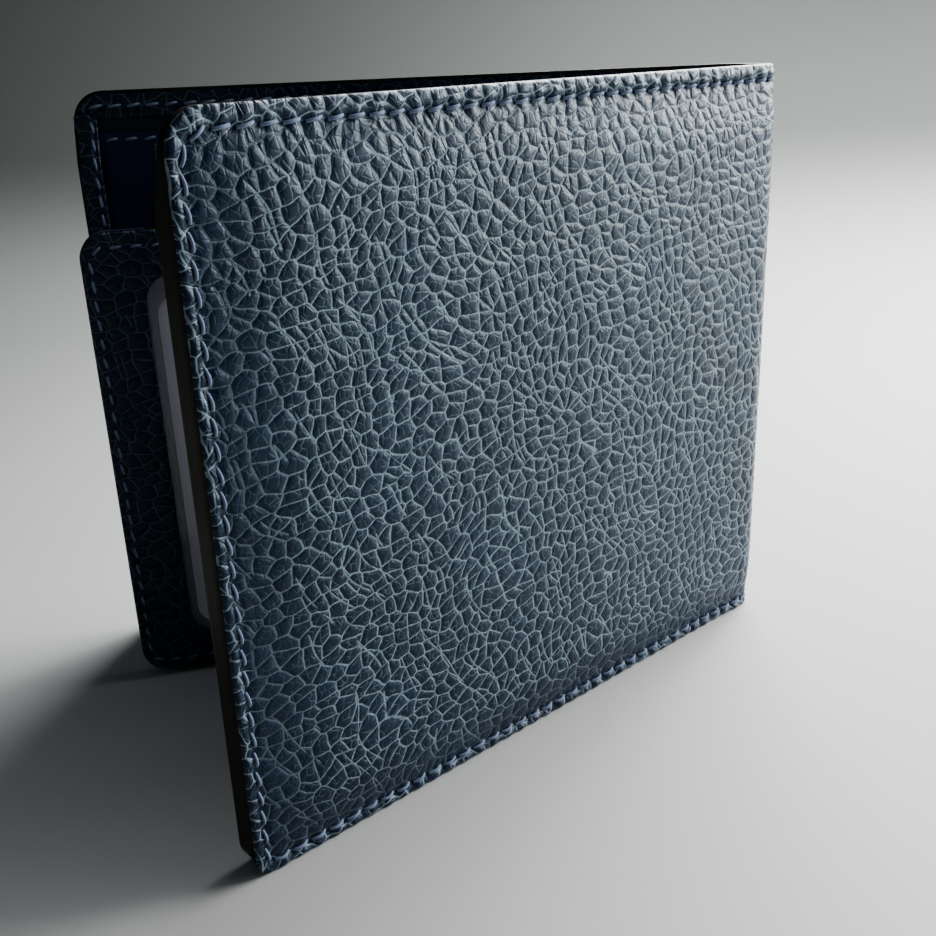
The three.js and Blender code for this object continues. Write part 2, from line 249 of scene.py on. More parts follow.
def section(width, back, face, edge, step, grooves=(), crown=0.0):
    """The cut across a strip: distances over its width and depths, round from its outer back
    corner over the face and down its inner edge. Grooves are (distance, width, depth)."""
    lift = math.copysign(1, face - back)
    quarter = np.radians(np.linspace(0, 90, 5))
    rise = edge * (1 - np.sin(quarter))
    run = edge * (1 - np.cos(quarter))
    flats = np.linspace(edge, width - edge, max(2, int(round((width - 2 * edge) / step)) + 1))[1:-1]
    across = np.concatenate([[0], run, flats, width - run[::-1], [width]])
    depth = face - lift * np.concatenate([[abs(face - back)], rise, 0 * flats, rise[::-1],
                                          [abs(face - back)]])
    for centre, wide, deep in grooves:
        depth = depth - lift * deep * bell(across, centre, wide / 2)
    depth[1:-1] += lift * crown * np.sin(np.pi * across[1:-1] / width)
    return across, depth


# ---------------------------------------------------------------- mesh building


def linked(name, data):
    """A new object in the scene."""
    thing = bpy.data.objects.new(name, data)
    bpy.context.scene.collection.objects.link(thing)
    return thing


def make_object(name, points, faces, facts):
    """A smooth-shaded mesh object with the given point attributes, its faces pointing out."""
    mesh = bpy.data.meshes.new(name)
    mesh.from_pydata([tuple(p) for p in points], [], faces)
    for key, values in facts.items():
        values = np.asarray(values, np.float32)
        kind = "FLOAT" if values.ndim == 1 else "FLOAT_VECTOR"
        item = "value" if values.ndim == 1 else "vector"
        mesh.attributes.new(key, kind, "POINT").data.foreach_set(item, values.ravel())
    built = bmesh.new()
    built.from_mesh(mesh)
    bmesh.ops.recalc_face_normals(built, faces=built.faces)
    if built.calc_volume(signed=True) < 0:
        bmesh.ops.reverse_faces(built, faces=built.faces)
    built.to_mesh(mesh)
    built.free()
    mesh.shade_smooth()
    mesh.set_sharp_from_angle(angle=math.radians(38))
    mesh.update()
    return linked(name, mesh)


def outwards(layers, s, z, lift):
    """Unit vectors along the depth, towards the outside where lift is -1."""
    return (layers.place(s, z, lift * 0.1 * MM) - layers.place(s, z, 0)) / (0.1 * MM)


def grain_place(layers, s, z):
    """Millimetre coordinates for the grain, which run on from one cover to the other."""
    run = 2 * HALF - s if getattr(layers, "side", "") == "back" else s
    return np.stack([run / MM, z / MM, 0 * s], -1).reshape(-1, 3)


def lofted(name, layers, lines, depths, lift, closed=False, relief=1.0):
    """A solid skinned over matching lines of (s, z), given in order round its cut."""
    lines = np.asarray(lines).transpose(1, 0, 2)
    n, m = lines.shape[:2]
    depths = np.broadcast_to(depths, (n, m))
    s, z = lines[..., 0], lines[..., 1]
    points = layers.place(s, z, depths).reshape(-1, 3)
    rows = n if closed else n - 1
    faces = []
    for i in range(rows):
        here, there = i * m, (i + 1) % n * m
        for j in range(m):
            k = (j + 1) % m
            faces.append((here + j, here + k, there + k, there + j))
    if not closed:
        faces.append(tuple(range(m - 1, -1, -1)))
        faces.append(tuple(range((n - 1) * m, n * m)))
    strength = np.full((n, m), float(relief))
    strength[:, [0, 1, -2, -1]] = 0
    facts = {"grain": grain_place(layers, s, z), "relief": strength.ravel(),
             "out": outwards(layers, s, z, lift).reshape(-1, 3)}
    return make_object(name, points, faces, facts)


def swept(name, layers, outer, inner, cut, closed=False, relief=1.0, shift=0.0):
    """A strip between two matching outlines. cut is what section() returns, and shift moves
    its depth at each point of the outlines."""
    outer, inner = np.asarray(outer), np.asarray(inner)
    across, depth = cut
    lift = 1 if depth.max() - depth[0] > depth[0] - depth.min() else -1
    t = across / across.max()
    lines = [outer * (1 - k) + inner * k for k in t]
    depths = depth[None, :] + np.broadcast_to(shift, len(outer))[:, None]
    return lofted(name, layers, lines, depths, lift, closed, relief)


def plate(name, layers, outline, back, face, bevel):
    """A flat plate with a closed outline and bevelled rims."""
    outline = np.asarray(outline)
    gaps = np.linalg.norm(outline - np.roll(outline, 1, 0), axis=1)
    outline = outline[gaps > 1e-7]
    before, after = np.roll(outline, 1, 0), np.roll(outline, -1, 0)
    way = after - before
    way /= np.linalg.norm(way, axis=1)[:, None]
    inside = np.stack([-way[:, 1], way[:, 0]], -1)
    lift = math.copysign(1, face - back)
    angles = np.radians(np.linspace(0, 90, 4))
    insets = np.concatenate([bevel * (1 - np.cos(angles[::-1])), bevel * (1 - np.cos(angles))])
    depths = np.concatenate([back + lift * bevel * (1 - np.sin(angles[::-1])),
                             face - lift * bevel * (1 - np.sin(angles))])
    n, m = len(outline), len(insets)
    flat_points = outline[None] + insets[:, None, None] * inside[None]
    points = layers.place(flat_points[..., 0], flat_points[..., 1], depths[:, None])
    faces = [(j * n + i, j * n + (i + 1) % n, (j + 1) * n + (i + 1) % n, (j + 1) * n + i)
             for j in range(m - 1) for i in range(n)]
    faces += [tuple(range(n - 1, -1, -1)), tuple(range((m - 1) * n, m * n))]
    grain = np.concatenate([flat_points / MM, np.zeros((m, n, 1))], -1).reshape(-1, 3)
    facts = {"grain": grain, "relief": np.zeros(n * m)}
    return make_object(name, points.reshape(-1, 3), faces, facts)


# ---------------------------------------------------------------- node building


class NodeBuilder:
    """Adds nodes to a shader or geometry tree, by value or by socket."""

    def __init__(self, tree):
        self.tree = tree

    def add(self, kind, inputs=None, output=0, **settings):
        """Adds a node, fills its inputs by name or index and returns one of its outputs."""
        node = self.tree.nodes.new(kind)
        for key, value in settings.items():
            setattr(node, key, value)
        for key, value in (inputs or {}).items():
            socket = node.inputs[key]
            if isinstance(value, bpy.types.NodeSocket):
                self.tree.links.new(value, socket)
            else:
                socket.default_value = value
        return node.outputs[output]

    def math(self, operation, a, b=0.0):
        """A Math node."""
        return self.add("ShaderNodeMath", {0: a, 1: b}, operation=operation)

    def times(self, a, b):
        """The product of two numbers."""
        return self.math("MULTIPLY", a, b)

    def plus(self, *values):
        """The sum of two or more numbers."""
        total = values[0]
        for value in values[1:]:
            total = self.math("ADD", total, value)
        return total

    def minus(self, a, b):
        """The difference of two numbers."""
        return self.math("SUBTRACT", a, b)

    def vector(self, operation, a, b):
        """A Vector Math node."""
        return self.add("ShaderNodeVectorMath", {0: a, 1: b}, operation=operation)

    def scaled(self, vector, factor):
        """A vector times a number."""
        return self.add("ShaderNodeVectorMath", {0: vector, "Scale": factor}, operation="SCALE")

    def ramp(self, value, low, high, to_low=0.0, to_high=1.0, smooth=True):
        """A clamped range."""
        kind = "SMOOTHSTEP" if smooth else "LINEAR"
        inputs = {0: value, 1: low, 2: high, 3: to_low, 4: to_high}
        return self.add("ShaderNodeMapRange", inputs, interpolation_type=kind)

    def noise(self, vector, scale, detail, roughness=0.5, colour=False):
        """A noise texture's value, or its colour as a vector."""
        inputs = {"Vector": vector, "Scale": scale, "Detail": detail, "Roughness": roughness}
        return self.add("ShaderNodeTexNoise", inputs, output=1 if colour else 0)

    def edges(self, vector, scale, randomness=1.0):
        """The distance to the nearest border between cells."""
        inputs = {"Vector": vector, "Scale": scale, "Randomness": randomness}
        return self.add("ShaderNodeTexVoronoi", inputs, voronoi_dimensions="2D",
                        feature="DISTANCE_TO_EDGE")

    def mix(self, factor, a, b):
        """Mixes two colours."""
        return self.add("ShaderNodeMix", {0: factor, 6: a, 7: b}, output=2, data_type="RGBA")

    def jitter(self, vector, scale, amount):
        """The vector, moved about by a smooth noise."""
        wobble = self.noise(vector, scale, 1.0, colour=True)
        centred = self.vector("SUBTRACT", wobble, (0.5, 0.5, 0.5))
        return self.vector("ADD", vector, self.scaled(centred, amount))

    def turned(self, vector, degrees):
        """The vector, turned about Z."""
        inputs = {"Vector": vector, "Angle": math.radians(degrees)}
        return self.add("ShaderNodeVectorRotate", inputs, rotation_type="Z_AXIS")

    def parts(self, vector):
        """The x, y and z of a vector."""
        return self.add("ShaderNodeSeparateXYZ", {0: vector}).node.outputs

    def place(self):
        """Where a point of the object is."""
        return self.add("ShaderNodeTexCoord", output=3)

    def fact(self, name, vector=False):
        """A number or vector that is stored on the mesh."""
        return self.add("ShaderNodeAttribute", output=1 if vector else 2, attribute_name=name)

    def stored(self, name, kind):
        """The same in a geometry tree."""
        return self.add("GeometryNodeInputNamedAttribute", {"Name": name}, data_type=kind)


def pebbles(nodes, vector, cell):
    """The leather's grain on millimetre coordinates: the distances, in millimetres, to the
    nearest deep fold between pebbles and to the nearest fine fold across them. Rounded pebbles
    are cut by long steep folds, so that they lie like scales."""
    wide = nodes.jitter(vector, 0.06, 5.0)
    level = nodes.turned(nodes.jitter(wide, 0.4, 0.9), -12)
    level = nodes.vector("MULTIPLY", level, (0.86, 1.1, 1.0))
    round_ones = nodes.edges(level, nodes.math("DIVIDE", 1.0, cell), 0.82)
    round_ones = nodes.times(round_ones, cell)

    across = nodes.parts(nodes.turned(wide, -28))[0]
    spacing = nodes.times(cell, 1.7)
    sway = nodes.times(nodes.noise(vector, 0.06, 1.0), 2.6)
    stripe = nodes.math("FRACT", nodes.plus(nodes.math("DIVIDE", across, spacing), sway))
    long_ones = nodes.times(nodes.math("ABSOLUTE", nodes.minus(stripe, 0.5)), spacing)
    gaps = nodes.noise(nodes.vector("ADD", vector, (9.0, 4.0, 0)), 0.17, 1.0)
    long_ones = nodes.plus(long_ones, nodes.ramp(gaps, 0.46, 0.62))
    deep = nodes.math("MINIMUM", round_ones, long_ones)

    frayed = nodes.jitter(nodes.vector("ADD", wide, (31.7, 12.3, 0)), 0.7, 0.5)
    fine = nodes.edges(frayed, nodes.math("DIVIDE", 1.9, cell), 0.95)
    return deep, nodes.times(fine, nodes.times(cell, 0.53))


def geometry_tree(name, numbers, finish):
    """A modifier's tree with a geometry, numbers by label and a material for its inputs."""
    tree = bpy.data.node_groups.new(name, "GeometryNodeTree")
    tree.is_modifier = True
    face = tree.interface
    face.new_socket("Geometry", in_out="INPUT", socket_type="NodeSocketGeometry")
    for label, default in numbers.items():
        kind = "NodeSocketInt" if isinstance(default, int) else "NodeSocketFloat"
        socket = face.new_socket(label, in_out="INPUT", socket_type=kind)
        socket.default_value = default
    face.new_socket(finish, in_out="INPUT", socket_type="NodeSocketMaterial")
    face.new_socket("Geometry", in_out="OUTPUT", socket_type="NodeSocketGeometry")
    return tree, NodeBuilder(tree), tree.nodes.new("NodeGroupInput").outputs


def finish_tree(nodes, geometry, finish):
    """Gives the geometry its material and ends the tree with it."""
    finished = nodes.add("GeometryNodeSetMaterial", {"Geometry": geometry, "Material": finish})
    end = nodes.tree.nodes.new("NodeGroupOutput")
    nodes.tree.links.new(finished, end.inputs["Geometry"])


def grain_tree():
    """Raises the pebbles out of a leather surface. Its sizes are in millimetres."""
    numbers = {"Pebble size": 2.1, "Pebble height": 0.12, "Fold depth": 0.04}
    tree, nodes, entry = geometry_tree("leather grain relief", numbers, "Leather")
    deep, fine = pebbles(nodes, nodes.stored("grain", "FLOAT_VECTOR"), entry["Pebble size"])
    tall = nodes.times(nodes.ramp(deep, 0.0, 0.75), entry["Pebble height"])
    small = nodes.times(nodes.ramp(fine, 0.0, 0.5), entry["Fold depth"])
    level = nodes.times(nodes.plus(entry["Pebble height"], entry["Fold depth"]), 0.6)
    height = nodes.minus(nodes.plus(tall, small), level)
    lift = nodes.times(nodes.times(height, nodes.stored("relief", "FLOAT")), MM)
    offset = nodes.scaled(nodes.stored("out", "FLOAT_VECTOR"), lift)
    moved = nodes.add("GeometryNodeSetPosition", {"Geometry": entry["Geometry"], "Offset": offset})
    solid = nodes.add("GeometryNodeRealizeInstances", {"Geometry": moved})
    finish_tree(nodes, solid, entry["Leather"])
    return tree


def stitch_tree():
    """Sets a row of slanted stitches along a line that lies on the leather."""
    numbers = {"Pitch": 2.75 * MM, "Stitch length": 1.95 * MM, "Thread radius": 0.21 * MM,
               "Rise": 0.2 * MM, "Sink": 0.25 * MM, "Slant": 0.16, "Seed": 4}
    tree, nodes, entry = geometry_tree("stitches along a seam", numbers, "Thread")

    def marked(curve, name):
        """The curve, with the share of its length up to each point stored on it."""
        share = nodes.add("GeometryNodeSplineParameter")
        inputs = {"Geometry": curve, "Name": name, "Value": share}
        return nodes.add("GeometryNodeStoreNamedAttribute", inputs, data_type="FLOAT",
                         domain="POINT")

    half = nodes.times(entry["Stitch length"], 0.5)
    low = nodes.times(entry["Sink"], -1.0)
    top = nodes.plus(nodes.times(entry["Rise"], 2.0), entry["Sink"])
    corner = "ShaderNodeCombineXYZ"
    bow = nodes.add("GeometryNodeCurveQuadraticBezier", {
        "Resolution": 7,
        "Start": nodes.add(corner, {0: nodes.times(half, -1.0), 2: low}),
        "Middle": nodes.add(corner, {2: top}),
        "End": nodes.add(corner, {0: half, 2: low}),
    })
    ring = nodes.add("GeometryNodeCurvePrimitiveCircle",
                     {"Resolution": 8, "Radius": entry["Thread radius"]}, mode="RADIUS")
    stitch = nodes.add("GeometryNodeCurveToMesh", {
        "Curve": marked(bow, "strand_run"), "Profile Curve": marked(ring, "strand_turn"),
        "Fill Caps": True})

    seam = nodes.add("GeometryNodeMeshToCurve", {"Mesh": entry["Geometry"]})
    dots = tree.nodes.new("GeometryNodeCurveToPoints")
    dots.mode = "LENGTH"
    tree.links.new(seam, dots.inputs["Curve"])
    tree.links.new(entry["Pitch"], dots.inputs["Length"])
    align = "FunctionNodeAlignRotationToVector"
    turned = nodes.add(align, {"Vector": dots.outputs["Tangent"]}, axis="X")
    upright = {"Rotation": turned, "Vector": nodes.stored("out", "FLOAT_VECTOR")}
    turned = nodes.add(align, upright, axis="Z", pivot_axis="X")
    sway = nodes.add("FunctionNodeRandomValue", {2: -0.06, 3: 0.06, "Seed": entry["Seed"]},
                     output=1, data_type="FLOAT")
    tilt = nodes.add("FunctionNodeAxisAngleToRotation",
                     {"Axis": (0, 0, 1), "Angle": nodes.plus(entry["Slant"], sway)})
    turned = nodes.add("FunctionNodeRotateRotation", {"Rotation": turned, "Rotate By": tilt},
                       rotation_space="LOCAL")
    row = nodes.add("GeometryNodeInstanceOnPoints", {
        "Points": dots.outputs["Points"], "Instance": stitch, "Rotation": turned})
    solid = nodes.add("GeometryNodeRealizeInstances", {"Geometry": row})
    smooth = nodes.add("GeometryNodeSetShadeSmooth", {"Geometry": solid})
    finish_tree(nodes, smooth, entry["Thread"])
    return tree


def run_tree(thing, tree, values):
    """Runs a geometry tree on an object and keeps the result as its plain mesh."""
    modifier = thing.modifiers.new("build", "NODES")
    modifier.node_group = tree
    for socket in tree.interface.items_tree:
        if socket.in_out == "INPUT" and socket.name in values:
            modifier[socket.identifier] = values[socket.name]
    bpy.context.view_layer.update()
    evaluated = thing.evaluated_get(bpy.context.evaluated_depsgraph_get())
    result = bpy.data.meshes.new_from_object(evaluated)
    thing.modifiers.remove(modifier)
    result.name = thing.name
    thing.data = result
    return thing


def shared_tree(name, build):
    """The tree of that name, built on first use."""
    return bpy.data.node_groups.get(name) or build()


# ---------------------------------------------------------------- materials


def material(name, build):
    """The material of that name, its nodes built on first use."""
    found = bpy.data.materials.get(name)
    if found:
        return found
    made = bpy.data.materials.new(name)
    made.use_nodes = True
    shader = made.node_tree.nodes["Principled BSDF"]
    build(NodeBuilder(made.node_tree), shader, bpy.context.scene.wallet)
    return made


def finish_shader(nodes, shader, colour, roughness, height, depth, **fixed):
    """Wires a shader's colour, roughness and bump, and sets its fixed sockets."""
    for key, value in (("Base Color", colour), ("Roughness", roughness)):
        nodes.tree.links.new(value, shader.inputs[key])
    bump = nodes.add("ShaderNodeBump", {"Height": height, "Distance": depth, "Strength": 1.0})
    nodes.tree.links.new(bump, shader.inputs["Normal"])
    for key, value in fixed.items():
        shader.inputs[key.replace("_", " ")].default_value = value


def rgba(colour):
    """A colour with full opacity."""
    return (*colour, 1.0)


def grain_leather(nodes, shader, wallet):
    """Pebbled leather: painted shade in the folds, pebble rims painted pale (partly rubbed dye, mostly a painted
    highlight) and a soft shine on the pebbles.
    """
    where = nodes.fact("grain", vector=True)
    deep, fine = pebbles(nodes, where, wallet.pebble_size / MM)
    cloud = nodes.noise(where, 0.05, 3.0)
    mottle = nodes.noise(where, 0.8, 3.0)
    pores = nodes.noise(where, 5.0, 2.0)
    fold = nodes.ramp(deep, 0.0, 0.025, 1.0, 0.0)
    rim = nodes.ramp(deep, 0.03, 0.13, 1.0, 0.0)
    small_rim = nodes.ramp(fine, 0.01, 0.07, 1.0, 0.0)

    # The pebbles' rims are painted pale: partly rubbed dye, mostly a painted highlight where the crease edges
    # catch the light.
    small_rub_and_highlight = nodes.times(small_rim, nodes.ramp(mottle, 0.4, 0.65, 0.0, 0.5))
    rub_and_highlight = nodes.math("MAXIMUM", rim, small_rub_and_highlight)
    # Dims the painted highlight where the cover's stored share is low, as painted shade on the flanks.
    rub_and_highlight = nodes.times(rub_and_highlight, nodes.ramp(nodes.fact("wear_and_highlight"), 0.0, 1.0, 0.35, 1.0, smooth=False))
    rub_and_highlight = nodes.times(rub_and_highlight, nodes.ramp(mottle, 0.3, 0.6, 0.6, 1.0))
    colour = nodes.mix(nodes.ramp(cloud, 0.35, 0.65), rgba(wallet.leather_colour),
                       rgba(wallet.leather_pale))
    colour = nodes.mix(rub_and_highlight, colour, rgba(wallet.leather_rub_and_highlight))
    # Painted shade at the bottoms of the deep folds.
    colour = nodes.mix(nodes.times(fold, 0.5), colour, rgba(wallet.leather_fold_shade))
    roughness = nodes.minus(nodes.ramp(mottle, 0.3, 0.7, 0.34, 0.43), nodes.times(rub_and_highlight, 0.16))
    height = nodes.plus(nodes.times(nodes.ramp(deep, 0.0, 0.6), 0.55),
                        nodes.times(nodes.ramp(deep, 0.0, 0.2), 0.45),
                        nodes.times(nodes.ramp(fine, 0.0, 0.2), 0.16),
                        nodes.times(pores, 0.07), nodes.times(rim, 0.3))
    finish_shader(nodes, shader, colour, roughness, height, 0.15 * MM, Coat_Weight=0.06,
                  Coat_Roughness=0.3, Specular_IOR_Level=0.32,
                  Specular_Tint=(0.74, 0.91, 1.0, 1.0))


def smooth_leather(nodes, shader, wallet):
    """Smooth dark leather with faint pores, painted shade in its creases and slow changes of shine."""
    where = nodes.fact("grain", vector=True)
    slow = nodes.noise(where, 0.12, 3.0)
    pores = nodes.noise(where, 3.2, 3.0, 0.6)
    creases = nodes.edges(nodes.jitter(where, 0.8, 0.6), 0.9)
    colour = nodes.mix(nodes.ramp(slow, 0.3, 0.7), rgba(wallet.smooth_colour),
                       rgba(wallet.smooth_pale))
    # Painted shade along the creases.
    crease_shade = nodes.ramp(creases, 0.0, 0.05, 0.35, 0.0)
    colour = nodes.mix(crease_shade, colour, rgba(wallet.leather_fold_shade))
    height = nodes.plus(nodes.times(pores, 0.6), nodes.ramp(creases, 0.0, 0.1))
    finish_shader(nodes, shader, colour, nodes.ramp(slow, 0.25, 0.75, 0.36, 0.5), height,
                  0.025 * MM, Specular_IOR_Level=0.4, Specular_Tint=(0.6, 0.78, 1.0, 1.0))


def edge_paint(nodes, shader, wallet):
    """Edge paint, laid on by hand and slightly uneven."""
    where = nodes.place()
    slow = nodes.noise(where, 90.0, 3.0)
    fine = nodes.noise(where, 900.0, 2.0)
    colour = nodes.mix(nodes.ramp(slow, 0.35, 0.7), rgba(wallet.edge_colour),
                       rgba(wallet.edge_pale))
    height = nodes.plus(slow, nodes.times(fine, 0.25))
    finish_shader(nodes, shader, colour, nodes.ramp(slow, 0.3, 0.7, 0.42, 0.56), height,
                  0.06 * MM, Specular_IOR_Level=0.22, Specular_Tint=(1.0, 0.9, 0.8, 1.0))


def thread(nodes, shader, wallet):
    """Twisted polyester thread."""
    phase = nodes.plus(nodes.times(nodes.fact("strand_run"), 3.5), nodes.fact("strand_turn"))
    wave = nodes.math("SINE", nodes.times(phase, 4 * math.pi))
    twist = nodes.ramp(wave, -1.0, 0.6)
    hairs = nodes.noise(nodes.place(), 2500.0, 2.0)
    colour = nodes.mix(twist, rgba(wallet.thread_shade), rgba(wallet.thread_colour))
    height = nodes.plus(twist, nodes.times(hairs, 0.3))
    finish_shader(nodes, shader, colour, nodes.ramp(hairs, 0.3, 0.7, 0.32, 0.5), height,
                  0.05 * MM, Sheen_Weight=0.25, Sheen_Roughness=0.4)


def lining_cloth(nodes, shader, wallet):
    """Fine twill: diagonal ribs over a faint weave."""
    where = nodes.fact("grain", vector=True)
    across, up, _ = nodes.parts(where)
    ribs, wefts = (2 * math.pi * per_mm for per_mm in (2.2, 4.5))
    rib = nodes.ramp(nodes.math("SINE", nodes.times(nodes.plus(across, up), ribs)), -1.0, 1.0)
    weft = nodes.ramp(nodes.math("SINE", nodes.times(up, wefts)), -1.0, 1.0)
    fuzz = nodes.noise(where, 2.5, 3.0)
    colour = nodes.mix(nodes.times(rib, 0.8), rgba(wallet.lining_shade),
                       rgba(wallet.lining_colour))
    height = nodes.plus(rib, nodes.plus(nodes.times(weft, 0.35), nodes.times(fuzz, 0.2)))
    finish_shader(nodes, shader, colour, nodes.ramp(fuzz, 0.3, 0.7, 0.78, 0.92), height,
                  0.05 * MM, Sheen_Weight=0.3, Sheen_Roughness=0.5)


def pulp_board(nodes, shader, wallet):
    """Grey-brown pulp board with specks and fibres."""
    where = nodes.place()
    speck = nodes.noise(where, 1600.0, 3.0)
    slow = nodes.noise(where, 120.0, 2.0)
    colour = nodes.mix(nodes.ramp(speck, 0.4, 0.65), (0.12, 0.1, 0.08, 1.0),
                       (0.3, 0.26, 0.21, 1.0))
    finish_shader(nodes, shader, colour, nodes.ramp(slow, 0.3, 0.7, 0.85, 0.95), speck,
                  0.03 * MM)


def dyed_board(nodes, shader, wallet):
    """Thin board dyed dark, with a calendered surface."""
    where = nodes.place()
    fibre = nodes.noise(where, 1800.0, 3.0)
    slow = nodes.noise(where, 90.0, 2.0)
    colour = nodes.mix(nodes.ramp(fibre, 0.35, 0.7), rgba(wallet.smooth_colour),
                       rgba(wallet.smooth_pale))
    finish_shader(nodes, shader, colour, nodes.ramp(slow, 0.3, 0.7, 0.45, 0.6), fibre,
                  0.015 * MM)


def clear_film(nodes, shader, wallet):
    """Clear window film, slightly wavy."""
    where = nodes.place()
    waves = nodes.noise(where, 45.0, 1.0)
    scuffs = nodes.noise(where, 700.0, 3.0)
    colour = nodes.mix(scuffs, (0.75, 0.78, 0.82, 1.0), (0.85, 0.87, 0.9, 1.0))
    finish_shader(nodes, shader, colour, nodes.ramp(scuffs, 0.5, 0.8, 0.06, 0.16), waves,
                  0.25 * MM, Alpha=0.16, Specular_IOR_Level=1.0, Coat_Weight=1.0,
                  Coat_Roughness=0.05)


def card_stock(nodes, shader, wallet):
    """A blank card: pale, with a lilac field and a faint guard pattern."""
    where = nodes.fact("grain", vector=True)
    across, up, _ = nodes.parts(where)
    bend = nodes.times(nodes.math("SINE", nodes.times(across, 0.22)), 2.0)
    waves = nodes.math("SINE", nodes.times(nodes.plus(up, bend), 5.2))
    waves = nodes.ramp(waves, 0.2, 0.9)
    field = nodes.ramp(nodes.noise(where, 0.03, 1.0), 0.4, 0.6)
    colour = nodes.mix(nodes.times(field, 0.35), rgba(wallet.card_colour),
                       rgba(wallet.card_field))
    colour = nodes.mix(nodes.times(waves, 0.1), colour, (0.4, 0.36, 0.55, 1.0))
    fine = nodes.noise(where, 4.0, 2.0)
    finish_shader(nodes, shader, colour, nodes.ramp(fine, 0.3, 0.7, 0.38, 0.46), fine,
                  0.004 * MM, Coat_Weight=0.3, Coat_Roughness=0.25)


# Each finish with the function that builds it and the record's slot that it stands for.
FINISHES = {
    "pebbled leather": (grain_leather, "grain_leather"),
    "smooth leather": (smooth_leather, "smooth_leather"),
    "edge paint": (edge_paint, "grain_leather"),
    "thread": (thread, "thread"),
    "twill lining": (lining_cloth, "lining"),
    "pulp board": (pulp_board, "board"),
    "dyed board": (dyed_board, "board"),
    "window film": (clear_film, "clear_film"),
    "card stock": (card_stock, "card"),
}


def dress(thing, finish):
    """Gives a piece its material."""
    build, slot = FINISHES[finish]
    thing.data.materials.clear()
    thing.data.materials.append(material(finish, build))
    return thing


def pebbled(thing, pebble_height, fold_depth):
    """Raises the grain on a piece and gives it the pebbled leather. Sizes in millimetres."""
    wallet = bpy.context.scene.wallet
    tree = shared_tree("leather grain relief", grain_tree)
    run_tree(thing, tree, {
        "Pebble size": wallet.pebble_size / MM, "Pebble height": pebble_height,
        "Fold depth": fold_depth, "Leather": material("pebbled leather", grain_leather)})
    return dress(thing, "pebbled leather")


def bend_with_spine(thing, side):
    """Bakes the piece's transform into its mesh; its points already follow its cover, and the spine past the bend.
    """
    cover = covers[side]
    start = cover.place(cover.length, 0, cover.radius - cover.neutral)
    end = cover.place(cover.length + cover.arc, 0, cover.radius - cover.neutral)
    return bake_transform(thing)


def stitch_row(name, layers, runs, depth, lift, **sizes):
    """Rows of stitches along lines of (s, z) on the surface at a depth, or of (s, z, depth).
    lift is -1 where the surface faces lower depths and 1 where it faces higher ones."""
    points, outs, edges = [], [], []
    for run in runs:
        run = np.asarray(run)
        first = len(points)
        deep = run[:, 2] if run.shape[1] > 2 else depth
        points += list(layers.place(run[:, 0], run[:, 1], deep))
        outs += list(outwards(layers, run[:, 0], run[:, 1], lift))
        edges += [(first + i, first + i + 1) for i in range(len(run) - 1)]
    mesh = bpy.data.meshes.new(name)
    mesh.from_pydata([tuple(p) for p in points], edges, [])
    mesh.attributes.new("out", "FLOAT_VECTOR", "POINT").data.foreach_set(
        "vector", np.asarray(outs, np.float32).ravel())
    thing = linked(name, mesh)
    wallet = bpy.context.scene.wallet
    values = {"Pitch": wallet.stitch_pitch, "Stitch length": wallet.stitch_length,
              "Thread radius": wallet.thread_width / 2, "Slant": wallet.stitch_slant,
              "Thread": material("thread", thread), **sizes}
    run_tree(thing, shared_tree("stitches along a seam", stitch_tree), values)
    return dress(thing, "thread")


# ---------------------------------------------------------------- settings


def length_setting(name, description, default):
    """A length that the user can change."""
    return FloatProperty(name=name, description=description, default=default, unit="LENGTH")


def colour_setting(name, description, default):
    """A colour that the user can change."""
    return FloatVectorProperty(name=name, description=description, default=default,
                               subtype="COLOR", size=3)


class WalletSettings(bpy.types.PropertyGroup):
    """Sizes and colours of the leather, the seams, the lining and the card."""

    pebble_size: length_setting("Pebble size", "Width of one pebble of the grain", 2.05 * MM)
    pad_rise: length_setting("Pad rise", "Drop from a cover's middle to its border", 0.8 * MM)
    crown: length_setting("Crown", "How far the middle of a cover swells", 0.45 * MM)
    stitch_pitch: length_setting("Stitch pitch", "From one stitch to the next", 2.75 * MM)
    stitch_length: length_setting("Stitch length", "Visible length of a stitch", 1.95 * MM)
    stitch_slant: FloatProperty(name="Stitch slant", description="Turn of a stitch from its seam",
                                default=0.16, subtype="ANGLE", unit="ROTATION")
    thread_width: length_setting("Thread width", "Thickness of the thread", 0.44 * MM)
    leather_colour: colour_setting("Leather", "Main colour of the grain leather",
                                   (0.005, 0.011, 0.028))
    leather_pale: colour_setting("Leather, paler", "Where the dye is thinner",
                                 (0.009, 0.019, 0.040))
    # Painted highlight on the pebbles' rims, partly rubbed dye.
    leather_rub_and_highlight: colour_setting("Rubbed rims", "Rims of the pebbles", (0.25, 0.325, 0.375))
    # Painted shade at the bottoms of the folds, used in both leathers.
    leather_fold_shade: colour_setting("Folds", "Bottoms of the folds", (0.004, 0.006, 0.014))
    smooth_colour: colour_setting("Smooth leather", "Slots and inner panels", (0.007, 0.011, 0.048))
    smooth_pale: colour_setting("Smooth leather, paler", "Where it is rubbed",
                                (0.014, 0.021, 0.070))
    edge_colour: colour_setting("Edge paint", "Painted cut edges", (0.007, 0.005, 0.004))
    edge_pale: colour_setting("Edge paint, worn", "Worn edge paint", (0.022, 0.018, 0.016))
    thread_colour: colour_setting("Thread", "Lit side of the thread", (0.15, 0.185, 0.20))
    thread_shade: colour_setting("Thread, shaded", "Between the strands", (0.02, 0.03, 0.045))
    lining_colour: colour_setting("Lining", "Ribs of the twill lining", (0.022, 0.028, 0.055))
    lining_shade: colour_setting("Lining, shaded", "Between the ribs", (0.008, 0.010, 0.022))
    card_colour: colour_setting("Card", "Ground of the blank card", (0.66, 0.63, 0.68))
    card_field: colour_setting("Card, field", "Lilac part of the card", (0.42, 0.38, 0.55))


# ---------------------------------------------------------------- shell


